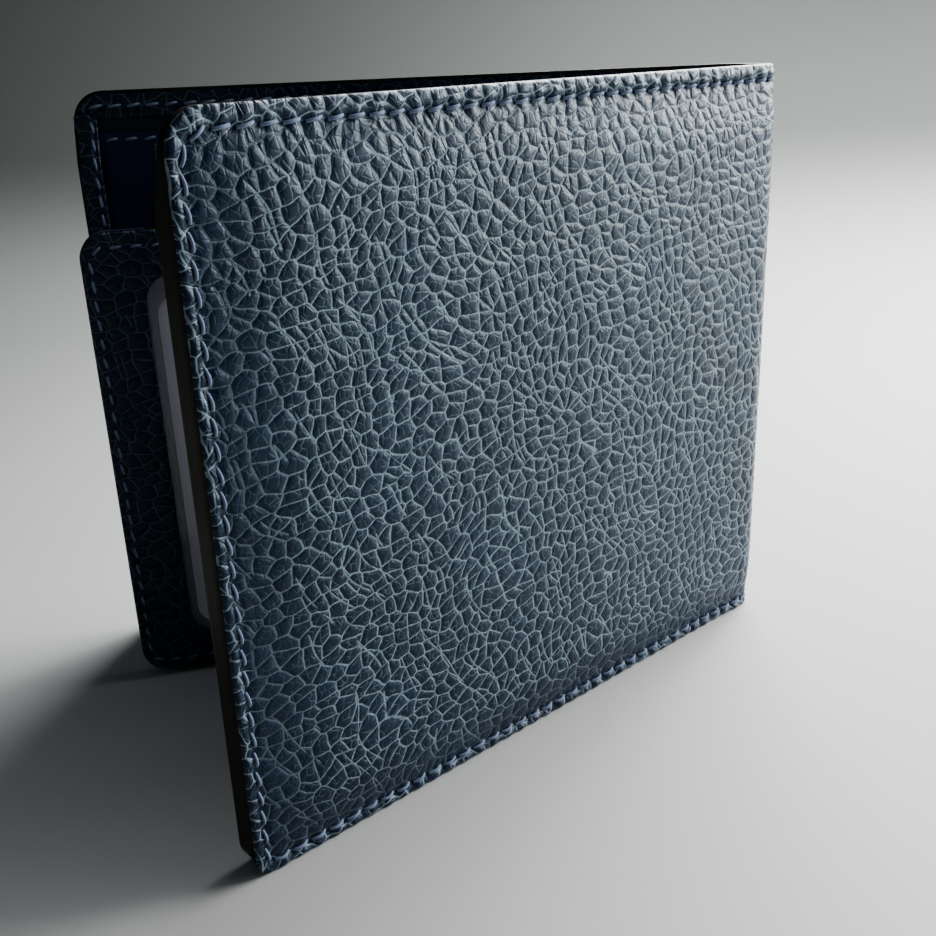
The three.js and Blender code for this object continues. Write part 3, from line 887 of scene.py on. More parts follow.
def smoothstep(value, low, high):
    """0 below low, 1 above high and a smooth rise between them."""
    t = np.clip((value - low) / (high - low), 0, 1)
    return t * t * (3 - 2 * t)


# A cover's corners at the free edge: the top one, the bottom one and the inner layers' one.
CORNER_TOP = 4.5 * MM
CORNER_BOTTOM = 2.0 * MM
CORNER_INNER = 3.5 * MM
# How far the inner layers stay back from the CAD's edges, to leave room for the edge paint.
SET_IN = 0.12 * MM
# The depth of the outside seam's stitches, which lie on the sewn border.
BORDER_FACE = covers["front"].extent("front_outside_seam_thread")[5]


def outside_seam(pitch):
    """The outside seam's line, the run along it and the exact pitch of its stitches."""
    reach = covers["front"].extent("front_outside_seam_thread")
    half = 0.25 * MM
    left, bottom, top = reach[0] + half, reach[2] + half, reach[3] - half
    line_points = edge_run(HALF, left, bottom, top, CORNER_BOTTOM - left / 2,
                           CORNER_TOP - left / 2, (400, 40, 400))
    points, run = evenly(line_points, 0.12 * MM)
    return points, run, run[-1] / round(run[-1] / pitch)


def eased(value, low, high, power):
    """Rises from 0 at low to 1 at high like a cushion's side."""
    return np.sin(np.pi / 2 * np.clip((value - low) / (high - low), 0, 1)) ** power


def border_drop(s, wallet):
    """How far the sewn border lies below the raised middle: less where it rounds the spine."""
    length = covers["front"].length
    return wallet.pad_rise * (1 - 0.55 * smoothstep(s, length - 8 * MM, length + 7 * MM))


def cover_depth(s, z, wallet):
    """Depth of the outside surface, its grain's strength, and how strongly its pebbles' rims are painted as
    highlight, at s and z.
    """
    pad = (eased(s, 2.3 * MM, 14.5 * MM, 1.0) * eased(z, 2.3 * MM, 9.0 * MM, 0.9)
           * eased(HEIGHT - z, 3.0 * MM, 10.0 * MM, 0.9))
    middle = 0.56 * covers["front"].length
    swell = np.clip(1 - ((s - middle) / middle) ** 2, 0, 1)
    swell = swell * np.sin(np.pi * np.clip(z / HEIGHT, 0, 1)) ** 0.7
    depth = border_drop(s, wallet) * (1 - pad) - wallet.crown * swell * pad
    edge = edge_distance(s, z)
    lip = 0.4 * MM
    near = np.minimum(edge, lip)
    depth = depth + lip - np.sqrt(np.maximum(lip**2 - (lip - near) ** 2, 0))
    strength = 0.35 + 0.65 * smoothstep(edge, 0.1 * MM, 0.8 * MM)

    sew_in(s, z, depth, strength, wallet)
    # Share of the rims' painted highlight: full on the raised middle and the outer rim, dimmed as painted shade on
    # the sloping flanks and the border.
    wear_and_highlight = np.maximum(pad**1.8, 1 - smoothstep(edge, 1.5 * MM, 2.6 * MM))
    return depth, strength, wear_and_highlight


def sew_in(s, z, depth, strength, wallet):
    """Sinks the outside seam into a cover's depth, and flattens its grain there: a groove that
    is deepest at the needle holes, with the leather puffed up beside it between them."""
    points, run, pitch = outside_seam(wallet.stitch_pitch)
    close = (s < 6 * MM) | (z < 5 * MM) | (z > HEIGHT - 6 * MM)
    where = np.argwhere(close)
    flat_s, flat_z = s[close], z[close]
    at_once = 4000
    for start in range(0, len(where), at_once):
        chunk = slice(start, start + at_once)
        gap = np.hypot(flat_s[chunk, None] - points[None, :, 0],
                       flat_z[chunk, None] - points[None, :, 1])
        nearest = gap.argmin(1)
        away = gap[np.arange(len(gap)), nearest]
        hole = 0.5 + 0.5 * np.cos(2 * np.pi * run[nearest] / pitch)
        groove = bell(away, 0, 0.5 * MM) * (0.12 + 0.33 * hole) * MM
        inside = edge_distance(flat_s[chunk], flat_z[chunk]) > 1.7 * MM
        puff = bell(away, 0.9 * MM, 0.6 * MM) * (0.30 * (1 - hole) - 0.02) * MM
        puff = puff * np.where(inside, 0.5, 1.0)
        at = tuple(where[chunk].T)
        depth[at] += groove - puff
        strength[at] *= 1 - 0.65 * bell(away, 0, 0.55 * MM)


def edge_distance(s, z):
    """Distance from a cover's outline, with its rounded corners."""
    edge = np.minimum(s, np.minimum(z, HEIGHT - z))
    for radius, centre, corner in ((CORNER_BOTTOM, CORNER_BOTTOM, z < CORNER_BOTTOM),
                                   (CORNER_TOP, HEIGHT - CORNER_TOP, z > HEIGHT - CORNER_TOP)):
        at = corner & (s < radius)
        edge = np.where(at, radius - np.hypot(radius - s, centre - z), edge)
    return np.maximum(edge, 0)


def free_edge(z):
    """Where the rounded outline's free edge lies at each height."""
    low = np.maximum(CORNER_BOTTOM - z, 0)
    high = np.maximum(z - (HEIGHT - CORNER_TOP), 0)
    return (CORNER_BOTTOM - np.sqrt(np.maximum(CORNER_BOTTOM**2 - low**2, 0))
            + CORNER_TOP - np.sqrt(np.maximum(CORNER_TOP**2 - high**2, 0)))


def cover_heights(step):
    """Heights for the rows of a cover, closer together round its corners."""
    low = CORNER_BOTTOM * (1 - np.cos(np.radians(np.linspace(0, 90, 10))))
    high = HEIGHT - CORNER_TOP * (1 - np.cos(np.radians(np.linspace(90, 0, 17))))
    middle = np.linspace(low[-1], high[0], int(round((high[0] - low[-1]) / step)) + 1)
    return np.concatenate([low[:-1], middle, high[1:]])


def shell_half(side, wallet):
    """The outer leather of a cover and its half of the spine, in one piece with its thickness."""
    layers = covers[side]
    step = 0.47 * MM
    heights = cover_heights(step)
    lip = np.array([0, 0.06, 0.16, 0.3, 0.5]) * MM
    columns = np.concatenate([lip, np.linspace(0.9 * MM, HALF, int(round(HALF / step)))])
    left = free_edge(heights)
    s = left[:, None] + (HALF - left)[:, None] * (columns / HALF)[None, :]
    z = np.broadcast_to(heights[:, None], s.shape).copy()
    depth, strength, wear_and_highlight = cover_depth(s, z, wallet)
    rows, across = s.shape
    border = 1 - (smoothstep(s, 3.5 * MM, 4.2 * MM) * smoothstep(z, 3.3 * MM, 4.0 * MM)
                  * smoothstep(HEIGHT - z, 4.1 * MM, 4.8 * MM))
    pad_back = 1.02 * MM
    border_back = layers.extent(f"{side}_shell_leather")[5]
    inside = pad_back + (border_back - pad_back) * border
    tuck = thinnest = 0.3 * MM
    s_in = s + tuck * np.clip(1 - s / HALF * 3, 0, 1)
    z_in = tuck + z * (HEIGHT - 2 * tuck) / HEIGHT
    outer = layers.place(s, z, depth).reshape(-1, 3)
    inner = layers.place(s_in, z_in, np.maximum(inside, depth + thinnest)).reshape(-1, 3)
    count = rows * across

    def at(i, j, back):
        """The index of a point in a row, outside or on the back."""
        return back * count + i * across + j

    faces = [(at(i, j, b), at(i, j + 1, b), at(i + 1, j + 1, b), at(i + 1, j, b))
             for b in (0, 1) for i in range(rows - 1) for j in range(across - 1)]
    faces = [face if face[0] < count else face[::-1] for face in faces]
    for i in range(rows - 1):
        for j in (0, across - 1):
            faces.append((at(i, j, 0), at(i, j, 1), at(i + 1, j, 1), at(i + 1, j, 0)))
    for j in range(across - 1):
        for i in (0, rows - 1):
            faces.append((at(i, j, 0), at(i, j + 1, 0), at(i, j + 1, 1), at(i, j, 1)))
    grain = grain_place(layers, s, z)
    out = outwards(layers, s, z, -1).reshape(-1, 3)
    facts = {"grain": np.concatenate([grain, grain]), "out": np.concatenate([out, out]),
             "relief": np.concatenate([strength.ravel(), np.zeros(count)]),
             "wear_and_highlight": np.concatenate([wear_and_highlight.ravel(), np.zeros(count)])}
    return make_object(f"{side}_shell_skin", np.concatenate([outer, inner]), faces, facts)


class WALLET_OT_shell(bpy.types.Operator):
    """Makes the pebbled outer leather of both covers and the spine"""

    bl_idname = "wallet.shell"
    bl_label = "Shell leather"

    def execute(self, context):
        """One sheet for each cover, meeting at the middle of the spine."""
        for side in SIDES:
            shell = pebbled(shell_half(side, context.scene.wallet), 0.08, 0.02)
            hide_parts(f"{side}_shell_leather", f"spine_{side}_bend")
            if side == "front":
                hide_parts("spine_leather")
            bend_with_spine(shell, side)
        return {"FINISHED"}


# ---------------------------------------------------------------- inside of the covers


def along_cover(start, end, step, bend_step=0.5 * MM, corner=0.0):
    """Places along a cover, closer together on a rounded corner and on the bend."""
    parts = []
    if corner:
        parts.append(start + corner * (1 - np.cos(np.radians(np.linspace(0, 90, 10)[:-1]))))
        start = start + corner
    length = covers["front"].length
    flat_end = min(end, length)
    parts.append(np.linspace(start, flat_end, max(2, int(round((flat_end - start) / step)) + 1)))
    if end > length:
        parts.append(np.linspace(length, end, int(round((end - length) / bend_step)) + 1)[1:])
    return np.concatenate(parts)


def corner_drop(s, start, radius):
    """How far a rounded corner draws a straight edge in at each place."""
    gap = np.clip(start + radius - s, 0, radius)
    return radius - np.sqrt(np.maximum(radius**2 - gap**2, 0))


def level_line(s, z):
    """Points at the places s, all at one height or each at its own."""
    return np.stack([s, np.broadcast_to(z, s.shape)], -1)


def slot_panel(name, layers, node, ends, corner, waves, inset):
    """A panel or slot of smooth leather over a CAD node, with a slightly wavy lip and a groove
    for its seam. ends are its lowest and highest s, and inset is (lip, lip's wave, bottom)."""
    _, _, z0, z1, d0, d1 = layers.extent(node)
    lip, swing, bottom = inset
    s = along_cover(*ends, 1.6 * MM, corner=corner)
    first, last = waves
    wave = swing * np.sin(np.linspace(0, last, len(s)) + first)
    top = level_line(s, z1 - lip + wave)
    base = level_line(s, z0 + bottom + corner_drop(s, ends[0], corner))
    cut = section(z1 - z0, d0, d1, 0.14 * MM, 0.5 * MM,
                  grooves=[(1.7 * MM, 0.55 * MM, 0.12 * MM)])
    made = dress(swept(name, layers, top, base, cut), "smooth leather")
    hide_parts(node)
    return made


class WALLET_OT_linings(bpy.types.Operator):
    """Makes the twill lining behind the banknote compartment"""

    bl_idname = "wallet.linings"
    bl_label = "Linings"

    def execute(self, context):
        """One sheet for each cover, meeting at the middle of the spine."""
        for side in SIDES:
            cover = covers[side]
            s0, _, z0, z1, d0, d1 = cover.extent(f"{side}_shell_lining")
            z1 += 1.05 * MM
            s = along_cover(s0, HALF, 4 * MM, corner=CORNER_INNER)
            bottom = level_line(s, z0 + corner_drop(s, s0, CORNER_INNER))
            cut = section(z1 - z0, d0, d1, 0.08 * MM, 6 * MM)
            lining = swept(f"{side}_lining_cloth", cover, level_line(s, z1), bottom, cut)
            dress(lining, "twill lining")
            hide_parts(f"{side}_shell_lining")
            if side == "front":
                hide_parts("spine_lining")
            bend_with_spine(lining, side)
        return {"FINISHED"}


class WALLET_OT_facings(bpy.types.Operator):
    """Makes the pebbled band along the top of the inside"""

    bl_idname = "wallet.facings"
    bl_label = "Top facings"

    def execute(self, context):
        """A strip for each cover, rounded at the free edge."""
        for side in SIDES:
            cover = covers[side]
            s0, _, z0, z1, d0, d1 = cover.extent(f"{side}_top_facing")
            z0 += 1.0 * MM
            s = along_cover(s0 + SET_IN, HALF, 0.45 * MM, 0.4 * MM, corner=CORNER_TOP)
            top = level_line(s, z1 - SET_IN - corner_drop(s, s0 + SET_IN, CORNER_TOP))
            cut = section(z1 - z0, d0, d1, 0.25 * MM, 0.4 * MM, crown=0.06 * MM,
                          grooves=[(2.2 * MM, 0.9 * MM, 0.13 * MM)])
            facing = swept(f"{side}_facing_band", cover, top, level_line(s, z0), cut, relief=0.8)
            pebbled(facing, 0.09, 0.04)
            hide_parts(f"{side}_top_facing")
            if side == "front":
                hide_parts("spine_top_facing")
            bend_with_spine(facing, side)
        return {"FINISHED"}


def binding_dip(z):
    """How much lower the turned border lies near the top, where fewer layers are under it."""
    return -1.7 * MM * smoothstep(z, 78.5 * MM, 85.5 * MM)


class WALLET_OT_pockets(bpy.types.Operator):
    """Makes the panel, its stepped card slots and the turned border round them"""

    bl_idname = "wallet.pockets"
    bl_label = "Card slots"

    def execute(self, context):
        """The same parts in both covers."""
        for side in SIDES:
            cover = covers[side]
            parts = {"panel_leather": "panel_backing", "slot_pocket_1": "card_pocket_1",
                     "slot_pocket_2": "card_pocket_2", "slot_pocket_3": "card_pocket_3"}
            for index, (name, part) in enumerate(parts.items()):
                node = f"{side}_{part}"
                made = slot_panel(f"{side}_{name}", cover, node, cover.extent(node)[:2],
                                  CORNER_INNER, (2 * index, 7 + index), (SET_IN, SET_IN, 0))
                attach(made, f"{side}_cover")
            self.border(cover)
        return {"FINISHED"}

    def border(self, cover):
        """The turned border up the free edge and along the bottom."""
        side = cover.side
        s0, s1, _, z1, d0, d1 = cover.extent(f"{side}_edge_binding")
        wide = 3.4 * MM
        counts = (210, 14, 185)
        outer = corner_run(s1, s0 + SET_IN, SET_IN, z1, CORNER_INNER, counts)
        inner = corner_run(s1, wide, wide, z1, 1.0 * MM, counts)
        cut = section(wide, d0, d1, 0.25 * MM, 0.4 * MM, crown=0.08 * MM,
                      grooves=[(2.6 * MM, 0.8 * MM, 0.13 * MM)])
        band = swept(f"{side}_edge_border", cover, outer, inner, cut, relief=0.7,
                     shift=binding_dip(outer[:, 1]))
        pebbled(band, 0.08, 0.04)
        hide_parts(f"{side}_edge_binding")
        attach(band, f"{side}_cover")


# The coat of edge paint, from the outside to the inside of a cover: how many millimetres it is
# set in, its share of the thickness, and how much its bottom corner is the inner layers' one.
COVER_PAINT = ((0.5, 0.0, 0), (0.1, 0.03, 0.2), (0.0, 0.12, 0.6), (0.03, 0.35, 1), (0.0, 0.6, 1),
               (0.03, 0.8, 1), (0.0, 0.92, 1), (0.12, 0.985, 1), (0.5, 1.0, 1))
# The same on the leaf's edges and on its two lips, without the corner.
LEAF_PAINT = ((0.5, 0.0), (0.08, 0.03), (0.0, 0.15), (0.03, 0.5), (0.0, 0.85), (0.1, 0.98),
              (0.5, 1.0))
LIP_PAINT = ((0.4, 0.0), (0.05, 0.08), (0.0, 0.3), (0.0, 0.7), (0.05, 0.92), (0.4, 1.0))


class WALLET_OT_edges(bpy.types.Operator):
    """Paints the cut edges of the covers"""

    bl_idname = "wallet.edges"
    bl_label = "Painted edges"

    def execute(self, context):
        """A thin coat round the bottom, the free edge and the top of each cover."""
        counts = (240, 16, 190)
        for side in SIDES:
            cover = covers[side]
            _, end, _, _, _, stack = cover.extent(f"{side}_edge_binding")
            lining = cover.extent(f"{side}_shell_lining")[5]
            facing = cover.extent(f"{side}_top_facing")[5]
            guide = edge_run(HALF, 0, 0, HEIGHT, CORNER_BOTTOM, CORNER_TOP, counts)
            s, z = guide[:, 0], guide[:, 1]
            far = stack + binding_dip(z)
            far = far + (facing - far) * smoothstep(z, HEIGHT - 5.5 * MM, HEIGHT - 4.0 * MM)
            far = np.where(z > HEIGHT - CORNER_TOP, facing, far)
            step_up = smoothstep(end + 0.5 * MM - s, 0, 0.6 * MM)
            at_bottom = (z < CORNER_BOTTOM) & (s > CORNER_BOTTOM)
            far = np.where(at_bottom, lining + (stack - lining) * step_up, far)
            near = 1.3 * MM
            lines, depths = [], []
            for inset, share, inner_corner in COVER_PAINT:
                gap = inset * MM
                radius = CORNER_BOTTOM + (CORNER_INNER - CORNER_BOTTOM) * inner_corner
                lines.append(edge_run(HALF, gap, gap, HEIGHT - gap, radius - gap / 2,
                                      CORNER_TOP - gap, counts))
                depths.append(near + (far - near) * share)
            paint = lofted(f"{side}_edge_paint", cover, lines, np.array(depths).T, 1, relief=0)
            dress(paint, "edge paint")
            bend_with_spine(paint, side)
        return {"FINISHED"}


# How deep the stitches lie that other leather folds onto, and how far they then bow out.
SUNK = 0.08 * MM


class WALLET_OT_seams(bpy.types.Operator):
    """Sews the covers"""

    bl_idname = "wallet.seams"
    bl_label = "Cover seams"

    def execute(self, context):
        """Stitches outside, on the facing, on the turned border and on the panel's lip."""
        wallet = context.scene.wallet
        points, run, pitch = outside_seam(wallet.stitch_pitch)
        centres = (np.arange(round(run[-1] / pitch)) + 0.5) * pitch
        just_under = pitch * 0.9999
        place = np.stack([np.interp(centres, run, points[:, i]) for i in (0, 1)], -1)
        on_cover = place[:, 0] < covers["front"].length
        first, last = np.argmax(on_cover), len(on_cover) - 1 - np.argmax(on_cover[::-1])

        def stretch(low, high):
            """The seam's line between two stitches."""
            fine = np.linspace(centres[low], centres[high], int((high - low) * 12) + 1)
            s, z = (np.interp(fine, run, points[:, i]) for i in (0, 1))
            return np.stack([s, z, border_drop(s, wallet) + SUNK], -1)

        for side in SIDES:
            cover = covers[side]
            row = stitch_row(f"{side}_outside_stitches", cover, [stretch(first, last)], 0, -1,
                             Pitch=just_under)
            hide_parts(f"{side}_outside_seam_thread")
            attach(row, f"{side}_cover")
            rest = [stretch(0, first - 1), stretch(last + 1, len(centres) - 1)]
            row = stitch_row(f"{side}_spine_stitches", cover, rest, 0, -1, Pitch=just_under)
            bend_with_spine(row, side)

            s0, s1, z0, z1, _, _ = cover.extent(f"{side}_facing_seam_thread")
            height = (z0 + z1) / 2
            band = cover.extent(f"{side}_top_facing")[5] - 0.06 * MM
            inside = np.array([(s0, height), (s1 - pitch, height)])
            row = stitch_row(f"{side}_facing_stitches", cover, [inside], band, 1)
            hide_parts(f"{side}_facing_seam_thread")
            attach(row, f"{side}_cover")
            across = along_cover(s1 - pitch * 0.1, HALF - pitch / 2, 0.5 * MM)
            inside = level_line(across, height)
            row = stitch_row(f"{side}_spine_facing_stitches", cover, [inside], band, 1)
            bend_with_spine(row, side)

            _, s1, _, z1, _, _ = cover.extent(f"{side}_binding_seam_thread")
            stack = cover.extent(f"{side}_edge_binding")[5] - SUNK
            inset = 2.6 * MM
            turn = corner_run(s1, inset, inset, z1, 1 * MM, (60, 8, 60))
            turn = np.column_stack([turn, stack + binding_dip(turn[:, 1])])
            row = stitch_row(f"{side}_border_stitches", cover, [turn], 0, 1, Rise=SUNK)
            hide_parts(f"{side}_binding_seam_thread")
            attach(row, f"{side}_cover")

            s0, s1, _, z1, _, d1 = cover.extent(f"{side}_panel_backing")
            lip = np.array([(s0 + 4 * MM, z1 - 1.0 * MM), (s1 - 3 * MM, z1 - 1.0 * MM)])
            row = stitch_row(f"{side}_panel_stitches", cover, [lip], d1 - 0.1 * MM, 1)
            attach(row, f"{side}_cover")
        return {"FINISHED"}


# ---------------------------------------------------------------- leaf


# The corners of the leaf's outline and of its window.
LEAF_CORNER = 4 * MM


def window_reach():
    """The lowest and highest s and z of the window in the leaf's frame."""
    s, z, _ = leaf.measure("leaf_window_frame")
    side, margin = 5 * MM, 1 * MM
    hole = ((s > s.min() + side) & (s < s.max() - margin)
            & (z > z.min() + margin) & (z < z.max() - margin))
    return s[hole].min(), s[hole].max(), z[hole].min(), z[hole].max()


class WALLET_OT_leaf(bpy.types.Operator):
    """Makes the centre leaf with its window, its slot and its hinge"""

    bl_idname = "wallet.leaf"
    bl_label = "Centre leaf"

    def execute(self, context):
        """Frame, backing, slot, painted edges, seam and hinge strip."""
        s0, s1, z0, z1, d0, d1 = leaf.extent("leaf_window_frame")
        lip = 0.1 * MM
        corners = (LEAF_CORNER, 0.5 * MM, 0.5 * MM, LEAF_CORNER)
        counts = (150, 14, 110)
        outer = rounded_ring(s0 + lip, s1, z0 + lip, z1 - lip, corners, counts)
        inner = rounded_ring(*window_reach(), (LEAF_CORNER,) * 4, counts)
        cut = section(6.5 * MM, d1, d0, 0.3 * MM, 0.42 * MM, crown=0.12 * MM,
                      grooves=[(1.5 * MM, 0.9 * MM, 0.14 * MM)])
        made = swept("leaf_frame_leather", leaf, outer, inner, cut, closed=True)
        pebbled(made, 0.11, 0.05)
        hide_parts("leaf_window_frame")
        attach(made, "id_leaf")

        b0, b1, y0, y1, e0, e1 = leaf.extent("leaf_backing")
        ring = rounded_ring(b0 + lip, b1, y0 + lip, y1 - lip, corners, (2, 10, 2))
        backing = plate("leaf_backing_leather", leaf, ring, e0, e1, 0.08 * MM)
        dress(backing, "smooth leather")
        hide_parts("leaf_backing")
        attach(backing, "id_leaf")

        p0, p1, _, _, _, back = leaf.extent("leaf_back_pocket")
        pocket = slot_panel("leaf_slot_leather", leaf, "leaf_back_pocket", (p0 + lip, p1),
                            LEAF_CORNER, (0, 8), (lip, lip, lip))
        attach(pocket, "id_leaf")

        self.edges(z0, z1, s1, back)
        self.seam(z0, z1, s1, d0)
        self.hinge()
        dress(cad_nodes["leaf_window_film"], "window film")
        dress(cad_nodes["leaf_core_board"], "dyed board")
        for side in SIDES:
            dress(cad_nodes[f"{side}_stiffener_board"], "pulp board")
        return {"FINISHED"}

    def edges(self, z0, z1, s1, back):
        """Edge paint on the free edge and the bottom, and on the two lips at the top."""
        counts = (120, 14, 90)
        to_top = counts[0] + 2 * counts[1] + counts[2] + 1
        near = 0.42 * MM
        lines, depths = [], []
        for inset, share in LEAF_PAINT:
            gap = inset * MM
            radius = LEAF_CORNER - gap
            run = edge_run(s1, gap, z0 + gap, z1 - gap, radius, radius, counts)[:to_top]
            lines.append(run)
            depths.append(np.full(len(run), near + (back - near) * share))
        self.paint("leaf_edge_paint", lines, depths)
        overlap = 0.02 * MM
        frame_back = leaf.extent("leaf_window_frame")[5] + overlap
        backing = leaf.extent("leaf_backing")
        s = np.linspace(LEAF_CORNER, s1, 60)
        for name, low, high in (
                ("leaf_front_lip_paint", 0.3 * MM, frame_back),
                ("leaf_back_lip_paint", backing[4] - overlap, backing[5] + overlap)):
            lines = [level_line(s, z1 - inset * MM) for inset, _ in LIP_PAINT]
            depths = [np.full(len(s), low + (high - low) * share) for _, share in LIP_PAINT]
            self.paint(name, lines, depths)

    def paint(self, name, lines, depths):
        """A coat of edge paint over lines round its cut."""
        coat = lofted(name, leaf, lines, np.array(depths).T, 1, relief=0)
        dress(coat, "edge paint")
        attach(coat, "id_leaf")

    def seam(self, z0, z1, s1, face):
        """Stitches round the leaf's frame."""
        side, low, high = 1.4 * MM, 2.0 * MM, 2.2 * MM
        guide = edge_run(s1 - 1.5 * MM, side, z0 + low, z1 - high, high, high, (80, 12, 80))
        row = stitch_row("leaf_stitches", leaf, [guide], face + SUNK, -1, Seed=9, Rise=SUNK)
        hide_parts("leaf_seam_thread")
        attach(row, "id_leaf")

    def hinge(self):
        """The soft strip from the panel's edge round the fold's axis to the leaf."""
        back = covers["back"]
        axis = flat(fold["pos_m"])
        panel = back.extent("back_panel_backing")
        deep = float((axis - back.origin) @ back.inward)
        radius = deep - (panel[4] + panel[5]) / 2
        angles = np.linspace(-math.pi / 2, math.pi / 2 - LEAF_LEAN, 22)
        spots = [axis + radius * (math.cos(a) * back.along + math.sin(a) * back.inward)
                 for a in angles]
        spots.insert(0, spots[0] - 0.25 * MM * back.along)
        spots.append(spots[-1] - 0.3 * MM * leaf.along)
        spots = np.array(spots)
        way = np.gradient(spots, axis=0)
        way /= np.linalg.norm(way, axis=1)[:, None]
        normal = np.stack([way[:, 1], -way[:, 0]], -1)
        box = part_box("leaf_fold_strip")
        rows = np.linspace(box[0][2], box[1][2], 40)
        half = 0.25 * MM
        points, grain = [], []
        for z in rows:
            for offset in (half, -half):
                for index, spot in enumerate(spots):
                    xy = spot + normal[index] * offset
                    points.append((xy[0], xy[1], z))
                    grain.append((index * 0.35, z / MM, 0))
        n = len(spots)
        faces = []
        ring = list(range(n)) + list(range(2 * n - 1, n - 1, -1))
        for row in range(len(rows) - 1):
            here, there = row * 2 * n, (row + 1) * 2 * n
            for a, b in zip(ring, ring[1:] + ring[:1]):
                faces.append((here + a, here + b, there + b, there + a))
        last = (len(rows) - 1) * 2 * n
        faces += [(j, j + 1, n + j + 1, n + j) for j in range(n - 1)]
        faces += [(last + j, last + n + j, last + n + j + 1, last + j + 1)
                  for j in range(n - 1)]
        facts = {"grain": grain, "relief": [0] * len(points)}
        strip = make_object("leaf_hinge_strip", points, faces, facts)
        dress(strip, "smooth leather")
        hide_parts("leaf_fold_strip")
        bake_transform(strip)


class WALLET_OT_card(bpy.types.Operator):
    """Makes the blank card behind the leaf's window"""

    bl_idname = "wallet.card"
    bl_label = "Window card"

    def execute(self, context):
        """A bevelled plate with rounded corners."""
        s0, s1, z0, z1, d0, d1 = leaf.extent("id_card")
        ring = rounded_ring(s0, s1, z0, z1, (3.18 * MM,) * 4, (2, 12, 2))
        card = dress(plate("window_card", leaf, ring, d1, d0, 0.07 * MM), "card stock")
        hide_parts("id_card")
        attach(card, "id_card")
        return {"FINISHED"}


# ---------------------------------------------------------------- stage


def area_light(name, place, aim, size, watts, colour):
    """A soft rectangular light pointed at a spot. size is its width and height."""
    data = bpy.data.lights.new(name, "AREA")
    data.shape = "RECTANGLE"
    data.size, data.size_y = size
    data.energy = watts
    data.color = colour
    lamp = linked(name, data)
    lamp.location = place
    lamp.rotation_euler = (Vector(aim) - Vector(place)).to_track_quat("-Z", "Y").to_euler()


def paper(nodes, shader, wallet):
    """Pale grey paper, painted darker towards the back and up the sweep as painted shade where less light reaches.
    """
    where = nodes.place()
    _, back, up = nodes.parts(where)
    fibre = nodes.noise(where, 400.0, 3.0)
    slow = nodes.noise(where, 3.0, 2.0)
    # Painted shade: the paper darkens towards the back and far more up the sweep, standing in for the light
    # falling off.
    colour = nodes.mix(nodes.ramp(back, -0.06, 0.3), (0.42, 0.428, 0.422, 1.0),
                       (0.24, 0.248, 0.242, 1.0))
    colour = nodes.mix(nodes.ramp(up, 0.0, 0.06), colour, (0.052, 0.058, 0.055, 1.0))
    colour = nodes.mix(nodes.times(slow, 0.1), colour, (0.28, 0.285, 0.28, 1.0))
    finish_shader(nodes, shader, colour, nodes.ramp(slow, 0.3, 0.7, 0.62, 0.7), fibre, 0.02 * MM)


# The camera's focal length over the width of its frame.
FOCAL = 1118.1 / 936


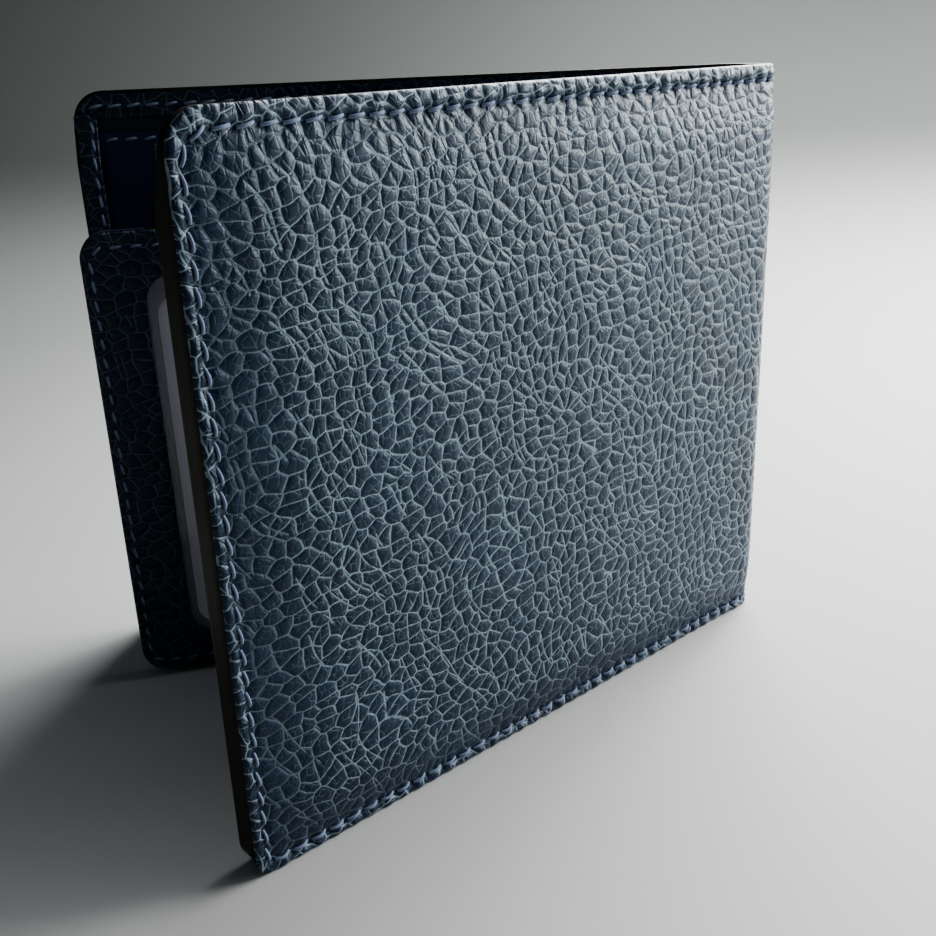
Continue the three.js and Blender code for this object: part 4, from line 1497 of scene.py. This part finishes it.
class WALLET_OT_stage(bpy.types.Operator):
    """Sets the pale sweep, the soft lights and the camera"""

    bl_idname = "wallet.stage"
    bl_label = "Stage"

    def execute(self, context):
        """The sweep stands square to the camera, behind the wallet."""
        front = covers["front"]
        heading, tilt, roll = (math.radians(turn) for turn in (41.24, 90 - 20.79, -2.32))
        ahead = np.array([math.sin(heading), math.cos(heading)])
        aside = np.array([ahead[1], -ahead[0]])
        corner = front.origin + front.inward * BORDER_FACE
        eye = Vector((corner[0] - 0.05195, corner[1] - 0.10094, 0.09454))

        angles = np.radians(np.linspace(0, 90, 25))
        near, far, bend, wall, reach = -6.0, 0.37, 0.14, 3.0, 6.0
        floor = np.linspace(near, far, 30)[:-1]
        run = np.concatenate([floor, far + bend * np.sin(angles), [far + bend]])
        up = np.concatenate([0 * floor, bend * (1 - np.cos(angles)), [wall]])
        widths = np.linspace(-reach, reach, 24)
        points = [(*(flat(eye) + r * ahead + w * aside), u)
                  for r, u in zip(run, up) for w in widths]
        n = len(widths)
        faces = [(i * n + j, i * n + j + 1, (i + 1) * n + j + 1, (i + 1) * n + j)
                 for i in range(len(run) - 1) for j in range(n - 1)]
        mesh = bpy.data.meshes.new("sweep")
        mesh.from_pydata(points, [], faces)
        mesh.shade_smooth()
        mesh.materials.append(material("sweep paper", paper))
        sweep = linked("sweep", mesh)

        middle = Vector((0, 0, 0.045))

        def around(turn, rise, distance):
            """A spot at a turn from the front cover's outward normal towards the spine."""
            turn, rise = math.radians(turn), math.radians(rise)
            out = -front.inward * math.cos(turn) + front.along * math.sin(turn)
            level = distance * math.cos(rise)
            return middle + Vector((*(out * level), distance * math.sin(rise)))

        warm, cool = (1.0, 0.99, 0.97), (0.97, 0.99, 1.0)
        area_light("window light", around(77, 30, 0.44), middle, (0.36, 0.36), 5.4, warm)
        area_light("low window light", around(55, 6, 0.7), middle, (0.5, 0.4), 3.6, cool)
        area_light("back light", around(112, 38, 0.36), middle, (0.22, 0.22), 2.2, cool)

        world = bpy.data.worlds.new("room")
        context.scene.world = world
        world.use_nodes = True
        backdrop = world.node_tree.nodes["Background"]
        backdrop.inputs["Color"].default_value = (0.80, 0.88, 1.0, 1.0)
        backdrop.inputs["Strength"].default_value = 0.13

        data = bpy.data.cameras.new("camera")
        data.sensor_width = 36.0
        data.lens = data.sensor_width * FOCAL
        data.clip_start = 0.005
        camera = linked("camera", data)
        facing = Matrix.Rotation(-heading, 4, "Z") @ Matrix.Rotation(tilt, 4, "X")
        camera.matrix_world = (Matrix.Translation(eye) @ facing
                               @ Matrix.Rotation(roll, 4, "Z"))
        context.scene.camera = camera
        context.scene.view_settings.view_transform = "AgX"
        context.scene.view_settings.look = "AgX - Medium High Contrast"
        return {"FINISHED"}


# ---------------------------------------------------------------- panel and registration


class WALLET_PT_build(bpy.types.Panel):
    """Lists the wallet's pieces in the order that they are made"""

    bl_idname = "WALLET_PT_build"
    bl_label = "Leather wallet"
    bl_space_type = "VIEW_3D"
    bl_region_type = "UI"
    bl_category = "Wallet"

    def draw(self, context):
        """A button for each operator and a field for each setting."""
        for operator in OPERATORS:
            self.layout.operator(operator.bl_idname)
        for name in WalletSettings.__annotations__:
            self.layout.prop(context.scene.wallet, name)


OPERATORS = (WALLET_OT_shell, WALLET_OT_linings, WALLET_OT_facings, WALLET_OT_pockets,
             WALLET_OT_edges, WALLET_OT_seams, WALLET_OT_leaf, WALLET_OT_card, WALLET_OT_stage)


def register():
    """Registers the settings, the operators and the panel."""
    for kind in (WalletSettings, *OPERATORS, WALLET_PT_build):
        bpy.utils.register_class(kind)
    bpy.types.Scene.wallet = PointerProperty(type=WalletSettings)


def unregister():
    """Takes them out again."""
    del bpy.types.Scene.wallet
    for kind in (WALLET_PT_build, *reversed(OPERATORS), WalletSettings):
        bpy.utils.unregister_class(kind)


def main():
    """Builds the wallet."""
    register()
    for operator in OPERATORS:
        group, name = operator.bl_idname.split(".")
        getattr(getattr(bpy.ops, group), name)()


if __name__ == "__main__":
    main()
